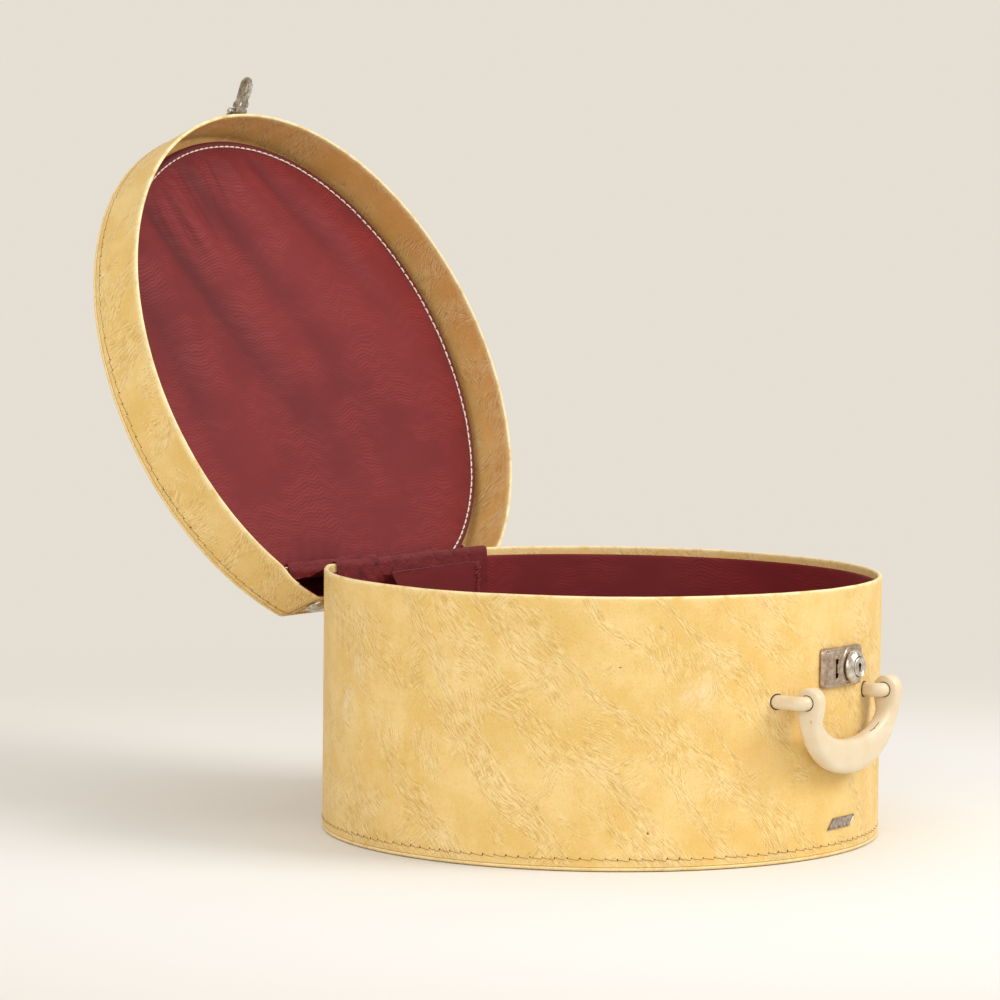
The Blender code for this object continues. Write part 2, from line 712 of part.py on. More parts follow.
# ---------------------------------------------------------------- hasp
HASP_LEAF_BACK = -205.0
HASP_LEAF_FRONT = HASP_LEAF_BACK - 1.0
HASP_LEAF_HALF = 9.0
HASP_BARREL_R = 2.3
HASP_HOLE_R = 1.2
STAPLE_R0, STAPLE_R1 = 14.4, 26.0

# Left edge of the tongue from the top down, (x, z) from the hasp's pivot
TONGUE_LEFT = [(-7.0, 1.0), (-8.4, -1.2), (-8.4, -6.5), (-6.6, -9.0), (-6.4, -21.0)]
# Staple's inner end and its window, (y, z) from the hasp's pivot
STAPLE_END = [(8.9, -23.6), (9.3, -22.2), (9.3, -14.2), (8.9, -12.6)]
STAPLE_WINDOW = [(4.6, -23.0), (6.9, -22.4), (7.7, -21.4), (7.7, -16.6), (7.0, -15.4), (4.6, -16.0)]


def hasp_rod(radius, x0, x1, steps):
    return rod_x(radius, x0, x1, HASP_Y, HASP_Z, steps)


def hasp_pin_hole():
    return hasp_rod(HASP_HOLE_R, HASP_X - 15, HASP_X + 15, 12)


def hasp_leaf(lid_band):
    """The leaf on the lid's front, with its pin and its two rivets."""
    x0, x1 = HASP_X - HASP_LEAF_HALF, HASP_X + HASP_LEAF_HALF
    gap_x0, gap_x1 = HASP_X - 5.6, HASP_X + 5.6
    leaf = box(x0, x1, HASP_LEAF_FRONT, HASP_LEAF_BACK, HASP_Z + 0.8, 171)
    leaf = piece(leaf, "hasp_leaf", METAL, lid_axis)
    cut(leaf, box(gap_x0, gap_x1, -215, -200, 140, HASP_Z + 2.8))
    lug_front, lug_back = HASP_LEAF_BACK - 2.0, HASP_LEAF_BACK - 0.35
    for lug_x0, lug_x1 in ((x0, gap_x0), (gap_x1, x1)):
        join(leaf, hasp_rod(HASP_BARREL_R, lug_x0, lug_x1, 16))
        join(leaf, box(lug_x0, lug_x1, lug_front, lug_back, HASP_Z + 0.9, HASP_Z + 3.6))
    cut(leaf, hasp_pin_hole())
    pin = headed_pin(0.95, 1.7, 2 * HASP_LEAF_HALF, gap=0.4, at=(x0, HASP_Y, HASP_Z), steps=12)
    piece(pin, "hasp_pin", STEEL_SMOOTH, lid_axis)

    depth = abs(HASP_LEAF_FRONT) - (LID_R - LID_WALL)
    # Headed at both ends, (radius, height)
    rivet_profile = [
        (0, -depth - 1.5), (2.1, -depth - 1.5), (2.3, -depth - 1.0), (1.2, -depth - 1.0),
        (1.2, 0.3), (2.6, 0.3), (2.3, 0.9), (1.3, 1.4), (0, 1.5),
    ]
    rivet_z = 163
    for side, x in (("left", HASP_X - 5.0), ("right", HASP_X + 5.0)):
        for drilled in (leaf, lid_band):
            cut(drilled, rod_y(1.5, x, rivet_z, -212, -198, 10))
        rivet = turned(lathe(rivet_profile, 12), (0, -1, 0), (x, HASP_LEAF_FRONT, rivet_z))
        piece(rivet, "hasp_rivet_" + side, METAL_SMOOTH, lid_axis)


def hasp_tongue():
    """The swinging tongue, round at its lower end."""
    right = [(-x, z) for x, z in reversed(TONGUE_LEFT)]
    outline = TONGUE_LEFT + arc(0, -21.0, 6.4, 180, 180, 10)[1:-1] + right
    tongue = front_prism(offset(outline, HASP_X, HASP_Z), -206.7, -205.1)
    tongue = piece(tongue, "hasp", METAL, hasp_axis)
    knuckle_x0, knuckle_x1 = HASP_X - 5.2, HASP_X + 5.2
    for x0, x1 in ((HASP_X - 12, knuckle_x0), (knuckle_x1, HASP_X + 12)):
        cut(tongue, box(x0, x1, -215, -200, HASP_Z - 3.0, HASP_Z + 6))
    join(tongue, hasp_rod(HASP_BARREL_R, knuckle_x0, knuckle_x1, 16))
    cut(tongue, hasp_pin_hole())
    # Raised pad on the outside, for the finger
    pad = round_rect(HASP_X - 3.6, HASP_X + 3.6, HASP_Z - 24.8, HASP_Z - 13.2, radius=3.4)
    join(tongue, front_prism(pad, -207.4, -206.2))
    slot_z0, slot_z1 = HASP_Z - STAPLE_R1 - 0.3, HASP_Z - STAPLE_R0 + 0.6
    cut(tongue, box(SLOT_X - 1.1, SLOT_X + 1.1, -215, -200, slot_z0, slot_z1))


def hasp_staple():
    """A curved loop struck from the hasp pin, so that it swings through its slot."""
    outline = arc(0, 0, STAPLE_R1, -87.6, 15.2, 6) + STAPLE_END
    outline += arc(0, 0, STAPLE_R0, -59.0, -26.4, 6)
    staple = side_prism(offset(outline, HASP_Y, HASP_Z), SLOT_X - 0.8, SLOT_X + 0.8)
    staple = piece(staple, "hasp_staple", METAL_STAPLE, hasp_axis)
    window = offset(STAPLE_WINDOW, HASP_Y, HASP_Z)
    cut(staple, side_prism(window, SLOT_X - 3, SLOT_X + 3))


# ---------------------------------------------------------------- assembly
wall_piece = base_shell()
base_lining()
gusset()
pocket()
lock_plate()
lock_case()
lock_spring()
lock_slide()
key_barrel()
handle_post("left", POST_LEFT_X, EYE_LEFT_X)
handle_post("right", POST_RIGHT_X, EYE_RIGHT_X)
handle()
name_plate()
band_piece = lid_shell()
lid_lining()
strip_piece = lid_back()
hinge("left", -HINGE_X, wall_piece, strip_piece)
hinge("right", HINGE_X, wall_piece, strip_piece)
hasp_leaf(band_piece)
hasp_tongue()
hasp_staple()
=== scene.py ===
"""A round case with a flat back, standing on the floor with its lid open.

Leatherette over board outside, watered cloth inside. +Z is up, X runs across, the lock and
the handle are at the front (-Y), and the flat back with its hinges is at +Y.
Sizes are in millimetres unless noted. Lid pieces are drawn with the lid shut, then opened.
"""
import json
import math
from collections import namedtuple

import bmesh
import bpy
import numpy as np
from mathutils.bvhtree import BVHTree
from mathutils import Matrix, Vector, noise


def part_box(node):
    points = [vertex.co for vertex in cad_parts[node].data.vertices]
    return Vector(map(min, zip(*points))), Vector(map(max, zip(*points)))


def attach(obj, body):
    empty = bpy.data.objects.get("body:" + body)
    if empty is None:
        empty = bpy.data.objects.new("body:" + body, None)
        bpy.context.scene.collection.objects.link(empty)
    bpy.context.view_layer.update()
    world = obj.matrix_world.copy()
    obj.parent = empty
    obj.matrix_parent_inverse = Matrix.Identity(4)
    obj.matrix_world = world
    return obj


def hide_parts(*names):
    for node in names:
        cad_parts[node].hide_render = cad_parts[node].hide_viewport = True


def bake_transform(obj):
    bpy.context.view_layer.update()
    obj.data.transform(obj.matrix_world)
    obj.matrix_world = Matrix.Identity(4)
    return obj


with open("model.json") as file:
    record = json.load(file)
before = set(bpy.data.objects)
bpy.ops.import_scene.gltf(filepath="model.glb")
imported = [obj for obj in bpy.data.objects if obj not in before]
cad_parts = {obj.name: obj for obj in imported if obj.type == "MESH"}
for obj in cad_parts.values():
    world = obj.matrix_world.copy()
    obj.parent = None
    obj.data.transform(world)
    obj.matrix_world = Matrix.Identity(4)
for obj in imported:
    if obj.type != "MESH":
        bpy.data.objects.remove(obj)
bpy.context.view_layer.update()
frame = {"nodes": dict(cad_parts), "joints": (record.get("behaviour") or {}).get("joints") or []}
NODES = frame["nodes"]
JOINTS = {joint["name"]: joint for joint in frame["joints"]}

# ---------------------------------------------------------------- sizes from the frame


def low(node):
    return np.array(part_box(node)[0]) * 1000.0


def high(node):
    return np.array(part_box(node)[1]) * 1000.0


def joint_place(name):
    return np.array(JOINTS[name]["pos_m"]) * 1000.0


def joint_reach(name):
    return math.radians(JOINTS[name]["range_deg"][1])


HINGE = joint_place("lid_hinge")
LID_ANGLE = joint_reach("lid_hinge")
HASP_ANGLE = joint_reach("hasp_hinge")
HANDLE = joint_place("handle_swing")
KNOB = joint_place("key_turn")

BASE_R, BASE_FLAT, RIM_Z = high("base_wall")    # radius, flat back's y, rim height
WALL = 3.0
INNER_FLAT = BASE_FLAT - WALL
LID_R = high("lid_band")[0]
LID_FLAT = BASE_FLAT + 4.6
LID_RIM = 146.5
CORNER = 7.0              # where the flat back meets the round wall
COLUMNS = 560             # points round the case
BOARD_MIDDLE_Y = -13.0    # boards are drawn in towards this
STITCH_PITCH = 8.5
rng = np.random.default_rng(7)


def turn_x(points, angle, centre):
    """Turns points about an X-parallel axis."""
    points = np.array(points, float)
    y, z = points[..., 1] - centre[1], points[..., 2] - centre[2]
    turned = points.copy()
    turned[..., 1] = centre[1] + y * math.cos(angle) - z * math.sin(angle)
    turned[..., 2] = centre[2] + y * math.sin(angle) + z * math.cos(angle)
    return turned


def opened(points):
    """From where a lid point lies with the lid shut to where it lies with the lid open."""
    return turn_x(points, -LID_ANGLE, HINGE)


PIN_SHUT = turn_x(joint_place("hasp_hinge")[None, :], LID_ANGLE, HINGE)[0]


def hasp_opened(points):
    return opened(turn_x(points, -HASP_ANGLE, PIN_SHUT))


# ---------------------------------------------------------------- small sums


def clamp(value):
    return max(0.0, min(1.0, value))


def bell(distance, width):
    return math.exp(-(distance / width) ** 2)


def wobble(x, y, z, scale, seed):
    """Smooth noise at a point."""
    return noise.noise(Vector((x * scale + seed, y * scale - seed * 0.7, z * scale + seed * 1.3)))


def running_length(points):
    steps = np.linalg.norm(np.diff(points, axis=0), axis=1)
    return np.concatenate([[0], np.cumsum(steps)])


# ---------------------------------------------------------------- forms, as (points, faces)


def joined(shapes):
    points, faces, base = [], [], 0
    for part_points, part_faces in shapes:
        points.append(np.asarray(part_points, float))
        faces += [[i + base for i in face] for face in part_faces]
        base += len(part_points)
    return np.concatenate(points), faces


def loft(rings, closed=False, start_cap=True):
    """A skin through equal rings of points, its ends filled unless it closes on itself."""
    rings = np.asarray(rings, float)
    count, sides = rings.shape[:2]
    faces = []
    for i in range(count if closed else count - 1):
        here, there = i * sides, (i + 1) % count * sides
        for j in range(sides):
            k = (j + 1) % sides
            faces.append([here + j, here + k, there + k, there + j])
    if not closed:
        if start_cap:
            faces.append(list(range(sides))[::-1])
        faces.append([(count - 1) * sides + j for j in range(sides)])
    return rings.reshape(-1, 3), faces


def tube(line, radius, sides=8, closed=False):
    """A round tube along a line of points."""
    line = np.asarray(line, float)
    radii = np.broadcast_to(np.asarray(radius, float), (len(line),))
    if closed:
        tangents = np.roll(line, -1, 0) - np.roll(line, 1, 0)
    else:
        tangents = np.gradient(line, axis=0)
    tangents /= np.maximum(np.linalg.norm(tangents, axis=1, keepdims=True), 1e-9)
    side = np.cross(tangents[0], [0.0, 0.0, 1.0])
    if np.linalg.norm(side) < 1e-3:
        side = np.cross(tangents[0], [1.0, 0.0, 0.0])
    side /= np.linalg.norm(side)
    angles = 2 * np.pi * np.arange(sides) / sides
    rings = []
    for point, tangent, size in zip(line, tangents, radii):
        side = side - tangent * (side @ tangent)
        side /= max(np.linalg.norm(side), 1e-9)
        up = np.cross(tangent, side)
        rings.append(point + size * (np.cos(angles)[:, None] * side + np.sin(angles)[:, None] * up))
    return loft(rings, closed)


def lathe(profile, centre, direction, sides=48, close=False):
    """A turned form from (radius, height) points. Radius 0 makes a single point."""
    turn = np.array(Vector(direction).normalized().to_track_quat("Z", "Y").to_matrix())
    angles = 2 * np.pi * np.arange(sides) / sides
    rings = []
    for radius, height in profile:
        if radius <= 1e-6:
            rings.append(np.array([[0.0, 0.0, height]]))
        else:
            heights = np.full(sides, height)
            rings.append(np.stack([radius * np.cos(angles), radius * np.sin(angles), heights], 1))
    counts = [len(ring) for ring in rings]
    starts = np.concatenate([[0], np.cumsum(counts)])
    pairs = [(i, i + 1) for i in range(len(rings) - 1)]
    if close:
        pairs.append((len(rings) - 1, 0))
    faces = []
    for i, j in pairs:
        for k in range(sides):
            face = []
            for ring, step in ((i, k), (i, (k + 1) % sides), (j, (k + 1) % sides), (j, k)):
                corner = int(starts[ring] + step % counts[ring])
                if corner not in face:
                    face.append(corner)
            if len(face) > 2:
                faces.append(face)
    return np.concatenate(rings) @ turn.T + np.asarray(centre, float), faces


def block(x0, x1, y0, y1, z0, z1, radius=0.3, steps=3):
    """A block along Y with its long edges rounded."""
    outline = []
    for x, z, start in (
        (x1 - radius, z1 - radius, 0), (x0 + radius, z1 - radius, 90),
        (x0 + radius, z0 + radius, 180), (x1 - radius, z0 + radius, 270),
    ):
        for i in range(steps + 1):
            angle = math.radians(start + 90 * i / steps)
            outline.append((x + radius * math.cos(angle), z + radius * math.sin(angle)))
    return loft([[(x, y, z) for x, z in outline] for y in (y0, y1)])


# ---------------------------------------------------------------- objects


def build(name, shape, material, body, part=None, pose=None,
          uv=None, wear_and_shade=None, angle=None, merge=0.0):
    """An object riding on a body and standing in for a CAD part. pose moves its points,
    uv is per corner, the per-point value runs 0 to 1 (edge wear on the leatherette, painted shade on the
    lid's padded cloth), and edges past angle degrees are sharp."""
    points, faces = shape
    if pose:
        points = pose(points)
    mesh = bpy.data.meshes.new(name)
    mesh.from_pydata((np.asarray(points, float) * 0.001).tolist(), [], faces)
    if uv is not None:
        layer = mesh.uv_layers.new(name="UVMap")
        layer.data.foreach_set("uv", np.asarray(uv, np.float32).reshape(-1))
    if wear_and_shade is None:
        wear_and_shade = np.zeros(len(mesh.vertices))
    # Per-point value named edge: edge wear on the leatherette, painted shade on the lid's padded cloth
    attribute = mesh.attributes.new("edge", "FLOAT", "POINT")
    attribute.data.foreach_set("value", np.asarray(wear_and_shade, np.float32).reshape(-1))
    bm = bmesh.new()
    bm.from_mesh(mesh)
    if merge > 0:
        bmesh.ops.remove_doubles(bm, verts=bm.verts, dist=merge * 0.001)
    bmesh.ops.recalc_face_normals(bm, faces=bm.faces)
    bm.to_mesh(mesh)
    bm.free()
    obj = bpy.data.objects.new(name, mesh)
    bpy.context.scene.collection.objects.link(obj)
    mesh.shade_smooth()
    if angle is not None:
        mesh.set_sharp_from_angle(angle=math.radians(angle))
    mesh.materials.append(material)
    if body:
        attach(obj, body)
    if part:
        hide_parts(part)
    return obj


def sheet(name, grid, uv, wear_and_shade, material, body, slot, part=None, pose=None,
          fill_end=False, angle=None):
    """A sheet through rows of points, uv in metres. fill_end makes the last row a face."""
    rows, columns = grid.shape[:2]
    index = np.arange(rows * columns).reshape(rows, columns)
    quads = np.stack([index[:-1, :-1], index[:-1, 1:], index[1:, 1:], index[1:, :-1]], -1)
    faces = quads.reshape(-1, 4).tolist()
    corners = quads.ravel()
    if fill_end:
        faces.append(index[-1].tolist())
        corners = np.concatenate([corners, index[-1]])
    if uv is not None:
        uv = np.asarray(uv, float).reshape(-1, 2)[corners]
    shape = (grid.reshape(-1, 3), faces)
    return build(name, shape, material, body, part, pose, uv, wear_and_shade, angle, merge=0.0005)


def apply_modifier(obj, modifier):
    bpy.context.view_layer.objects.active = obj
    obj.select_set(True)
    bpy.ops.object.modifier_apply(modifier=modifier.name)
    obj.select_set(False)


def plotted(rows, columns, place):
    """A grid and its uv from place(down, across), 0 to 1, which gives x, y, z, u, v."""
    cells = np.array([
        [place(i / (rows - 1), j / (columns - 1)) for j in range(columns)] for i in range(rows)
    ])
    return cells[..., :3], cells[..., 3:] * 0.001


# ---------------------------------------------------------------- the case's plan

Plan = namedtuple("Plan", "points normals along")


def case_plan(radius, flat, corner, count=COLUMNS):
    """Round plan with a flat back, from the middle of the flat, by way of -X."""
    corner_x = math.sqrt((radius - corner) ** 2 - (flat - corner) ** 2)
    arc_end = math.atan2(flat - corner, corner_x)
    corner_length = corner * (math.pi / 2 - arc_end)
    round_length = radius * (math.pi + 2 * arc_end)
    total = 2 * corner_x + 2 * corner_length + round_length
    along = np.linspace(0, total, count)
    points, normals = np.zeros((count, 2)), np.zeros((count, 2))
    for i, distance in enumerate(along):
        if distance <= corner_x or distance > total - corner_x:
            points[i] = (-distance if distance <= corner_x else total - distance, flat)
            normals[i] = (0, 1)
            continue
        past = distance - corner_x
        if past <= corner_length:
            angle, bend = math.pi / 2 + past / corner, corner
            centre = (-corner_x, flat - corner)
        elif past <= corner_length + round_length:
            angle, bend = math.pi - arc_end + (past - corner_length) / radius, radius
            centre = (0, 0)
        else:
            angle, bend = arc_end + (past - corner_length - round_length) / corner, corner
            centre = (corner_x, flat - corner)
        normals[i] = (math.cos(angle), math.sin(angle))
        points[i] = np.array(centre) + bend * normals[i]
    return Plan(points, normals, along)


def rippled(plan, *layers):
    """Waves round a plan, summed from (amount, z, scale, seed) layers."""
    waves = np.array([
        sum(amount * wobble(x, y, z, scale, seed) for amount, z, scale, seed in layers)
        for x, y in plan.points
    ])
    waves[-1] = waves[0]
    return waves


def swept(profile, plan):
    """Carries (offset, height[, wear]) points round a plan. Gives points, uv and wear."""
    table = np.array([(*entry, 0.0)[:3] for entry in profile], float)
    offset, height, wear_and_shade = table.T[:, :, None]
    size = (len(table), len(plan.along))
    grid, uv = np.zeros((*size, 3)), np.zeros((*size, 2))
    grid[..., :2] = plan.points + plan.normals * offset[..., None]
    grid[..., 2] = height
    uv[..., 0] = plan.along * 0.001
    uv[..., 1] = running_length(table[:, :2])[:, None] * 0.001
    return grid, uv, np.broadcast_to(wear_and_shade, size)


def drawn_in(row, scales, crown=0.0, wave=0.0, wave_scale=0.0, seed=0.0):
    """Copies of a row shrunk to fill a board, with a crown and waves that grow inwards."""
    rows = []
    for scale in scales:
        ring = row.copy()
        ring[:, 0] *= scale
        ring[:, 1] = (ring[:, 1] - BOARD_MIDDLE_Y) * scale + BOARD_MIDDLE_Y
        waves = np.array([wave * wobble(x, y, 0, wave_scale, seed) for x, y in ring[:, :2]])
        ring[:, 2] += crown * (1 - scale ** 4) + waves * (1 - scale)
        rows.append(ring)
    rows = np.array(rows)
    return rows, rows[..., :2] * 0.001, np.zeros(rows.shape[:2])


def stacked(first, second):
    return [np.concatenate(pair) for pair in zip(first, second)]


def arc(offset, height, radius, start, end, steps, wear_and_shade):
    """Profile points on an arc, its angles in degrees."""
    angles = [math.radians(start + (end - start) * i / steps) for i in range(steps + 1)]
    return [(offset + radius * math.cos(a), height + radius * math.sin(a), wear_and_shade) for a in angles]


BASE_PLAN = case_plan(BASE_R, BASE_FLAT, CORNER)
LINING_PLAN = case_plan(BASE_R - WALL - 0.1, INNER_FLAT - 0.1, 6.0)
LID_PLAN = case_plan(LID_R, LID_FLAT, CORNER)

# ---------------------------------------------------------------- shader helpers

INPUTS = {
    "colour": "Base Color", "rough": "Roughness", "metal": "Metallic", "normal": "Normal",
    "sheen": "Sheen Weight", "sheen_rough": "Sheen Roughness", "sheen_tint": "Sheen Tint",
    "spec": "Specular IOR Level", "sss": "Subsurface Weight", "sss_scale": "Subsurface Scale",
    "sss_radius": "Subsurface Radius",
}


class Nodes:
    """Short ways to add nodes to a material or world."""

    def __init__(self, owner):
        self.owner = owner
        owner.use_nodes = True
        self.tree = owner.node_tree

    def put(self, socket, value):
        if isinstance(value, bpy.types.NodeSocket):
            self.tree.links.new(value, socket)
        else:
            if isinstance(value, tuple) and socket.type == "RGBA" and len(value) == 3:
                value = (*value, 1.0)
            socket.default_value = value

    def node(self, kind, inputs=(), **settings):
        """Adds a node and gives its outputs."""
        node = self.tree.nodes.new("ShaderNode" + kind)
        for key, value in settings.items():
            setattr(node, key, value)
        for key, value in dict(inputs).items():
            self.put(node.inputs[key], value)
        return node.outputs

    def math(self, operation, *values):
        return self.node("Math", enumerate(values), operation=operation)[0]

    def times(self, first, second):
        return self.math("MULTIPLY", first, second)

    def plus(self, first, second):
        return self.math("ADD", first, second)

    def minus(self, first, second):
        return self.math("SUBTRACT", first, second)

    def centred(self, value, amount):
        """A 0 to 1 value moved to lie about 0, then scaled."""
        return self.times(self.minus(value, 0.5), amount)

    def total(self, parts):
        result = parts[0]
        for part in parts[1:]:
            result = self.plus(result, part)
        return result

    def vector(self, operation, *values):
        return self.node("VectorMath", enumerate(values), operation=operation)[0]

    def scaled(self, vector, amount):
        return self.node("VectorMath", {0: vector, "Scale": amount}, operation="SCALE")[0]

    def length(self, vector):
        return self.node("VectorMath", {0: vector}, operation="LENGTH")["Value"]

    def coords(self, kind="Object"):
        return self.node("TexCoord")[kind]

    # Per-point value: edge wear on the leatherette, painted shade on the lid's padded cloth
    def wear_and_shade(self):
        return self.node("Attribute", attribute_name="edge")["Fac"]

    def noise(self, vector, scale=1.0, detail=2.0, rough=0.5,
              stretch=None, turn=0.0, shift=(0, 0, 0), out="Fac"):
        """Noise, on a vector turned by radians, then stretched and shifted if asked."""
        if stretch:
            if turn:
                vector = self.node("Mapping", {"Vector": vector, "Rotation": (0, 0, turn)})[0]
            mapping = {"Vector": vector, "Scale": stretch, "Location": shift}
            vector = self.node("Mapping", mapping)[0]
        inputs = {"Vector": vector, "Scale": scale, "Detail": detail, "Roughness": rough}
        return self.node("TexNoise", inputs)[out]

    def warp(self, vector, scale, amount):
        """A small shift that wanders from place to place."""
        wander = self.noise(vector, scale, out="Color")
        return self.scaled(self.vector("SUBTRACT", wander, (0.5, 0.5, 0.5)), amount)

    def ramp(self, value, between, to=(0.0, 1.0)):
        return self.node("MapRange", {
            "Value": value, "From Min": between[0], "From Max": between[1],
            "To Min": to[0], "To Max": to[1],
        }, interpolation_type="SMOOTHSTEP")["Result"]

    def patches(self, vector, between, **settings):
        return self.ramp(self.noise(vector, **settings), between)

    def mix(self, factor, first, second):
        inputs = {"Factor": factor, "A": first, "B": second}
        settings = {"data_type": "RGBA", "blend_type": "MIX", "clamp_factor": True}
        return self.node("Mix", inputs, **settings)["Result"]

    def tint(self, colour, other, mask, amount):
        return self.mix(self.times(mask, amount), colour, other)

    def bump(self, height, strength, depth):
        inputs = {"Height": height, "Strength": strength, "Distance": depth * 0.001}
        return self.node("Bump", inputs)[0]

    def set(self, **values):
        for key, value in values.items():
            self.put(self.tree.nodes["Principled BSDF"].inputs[INPUTS[key]], value)
        return self.owner


def new_material(name):
    return Nodes(bpy.data.materials.new(name))


def shade(colour, factor):
    return tuple(factor * part for part in colour)


# ---------------------------------------------------------------- materials


def leatherette(name, base=(0.745, 0.490, 0.142), deep=(0.55, 0.310, 0.070),
                pale=(0.82, 0.590, 0.235), edge=(0.93, 0.765, 0.43),
                marks=(), strength=0.62, lean=-50.0):
    """Hide-grained coated cloth: bundles of creases over a pebbled grain, mottled and worn."""
    mat = new_material(name)
    uv = mat.coords("UV")
    drift = mat.warp(uv, scale=10.0, amount=0.036)
    bent = mat.vector("ADD", uv, drift)
    wavy = mat.vector("ADD", bent, mat.warp(uv, scale=150.0, amount=0.0026))
    # Creases: direction in degrees from level, mask scale across and along, mask range, amount
    creases = (
        (lean, 34.0, 4.5, (0.520, 0.60), 1.0),
        (lean + 8.0, 30.0, 6.0, (0.545, 0.62), 0.8),
        (lean + 20.0, 30.0, 20.0, (0.565, 0.65), 0.8),
        (lean + 92.0, 34.0, 26.0, (0.590, 0.67), 0.65),
        (lean - 24.0, 28.0, 18.0, (0.570, 0.66), 0.75),
    )
    bundles = []
    for i, (direction, across, along, between, amount) in enumerate(creases):
        common = {"turn": -math.radians(direction + 90.0), "detail": 1.0, "rough": 0.4}
        lines = mat.patches(wavy, between=(0.34, 0.60), stretch=(1500.0, 105.0, 1.0),
                            shift=(3.1 * i, 1.7 * i, 0), **common)
        mask = mat.patches(bent, between=between, stretch=(across, along, 1.0),
                           shift=(7.7 * i, 4.1 * i, 0), **common)
        bundles.append(mat.times(mat.centred(lines, mask), amount))
    height = mat.total(bundles)
    # Two leaning grains that take turns by area, and a pebble
    falling = mat.patches(wavy, between=(0.30, 0.70), turn=math.radians(-40.0),
                          stretch=(1350.0, 380.0, 1.0), rough=0.55)
    rising = mat.patches(wavy, between=(0.30, 0.70), turn=math.radians(35.0),
                         stretch=(1350.0, 420.0, 1.0), shift=(5, 9, 0), rough=0.55)
    which = mat.patches(uv, between=(0.42, 0.58), scale=60.0, detail=1.0)
    grain = mat.plus(mat.times(falling, which), mat.times(rising, mat.minus(1.0, which)))
    pebble = mat.noise(uv, scale=950.0, detail=3.0, rough=0.65)
    fine = mat.plus(mat.centred(grain, amount=0.52), mat.centred(pebble, amount=0.56))
    relief = mat.plus(height, fine)

    mottle = mat.patches(uv, between=(0.36, 0.68), scale=26.0, detail=4.0, rough=0.62)
    colour = mat.mix(mottle, base, pale)
    patch = mat.patches(uv, between=(0.50, 0.74), scale=6.5)
    colour = mat.tint(colour, deep, patch, amount=0.22)
    speck = mat.patches(uv, between=(0.55, 0.68), scale=780.0, detail=3.0, rough=0.7)
    colour = mat.tint(colour, pale, speck, amount=0.42)
    dots = mat.patches(uv, between=(0.57, 0.72), scale=520.0, detail=3.0, rough=0.7,
                       stretch=(1.0, 1.0, 1.0), shift=(3.0, 8.0, 0.0))
    colour = mat.tint(colour, deep, dots, amount=0.30)
    # Painted shade in the grain's grooves and creases, and a painted highlight on its ridges, both read
    # off the relief
    colour = mat.tint(colour, deep, mat.ramp(relief, between=(-0.05, -0.50)), amount=0.60)
    colour = mat.tint(colour, edge, mat.ramp(relief, between=(0.08, 0.50)), amount=0.38)
    for u, v, half_width, half_height, kind in marks:
        wandering = mat.vector("ADD", uv, mat.scaled(drift, amount=0.35))
        offset = mat.vector("SUBTRACT", wandering, (u, v, 0.0))
        offset = mat.vector("MULTIPLY", offset, (1.0 / half_width, 1.0 / half_height, 0.0))
        near = mat.ramp(mat.length(offset), between=(1.0, 0.25))
        if kind == "scuff":
            scrape = mat.patches(wavy, between=(0.34, 0.62), turn=math.radians(30.0),
                                 stretch=(240.0, 60.0, 1.0), detail=4.0, rough=0.7)
            colour = mat.tint(colour, (0.86, 0.77, 0.56), mat.times(near, scrape), amount=0.40)
        elif kind == "stain":
            # Painted shadow of the handle: darkened towards the deep colour
            colour = mat.tint(colour, deep, near, amount=0.34)
        else:
            colour = mat.mix(near, colour, (0.05, 0.03, 0.02))
    rubbed = mat.patches(uv, between=(0.28, 0.55), scale=90.0, detail=3.0, rough=0.6)
    colour = mat.tint(colour, edge, mat.wear_and_shade(), rubbed)
    cloudy = mat.noise(uv, scale=60.0, detail=3.0, rough=0.6)
    rough = mat.plus(mat.times(cloudy, 0.22), 0.40)
    return mat.set(colour=colour, rough=rough, spec=0.36,
                   normal=mat.bump(relief, strength, depth=0.30))


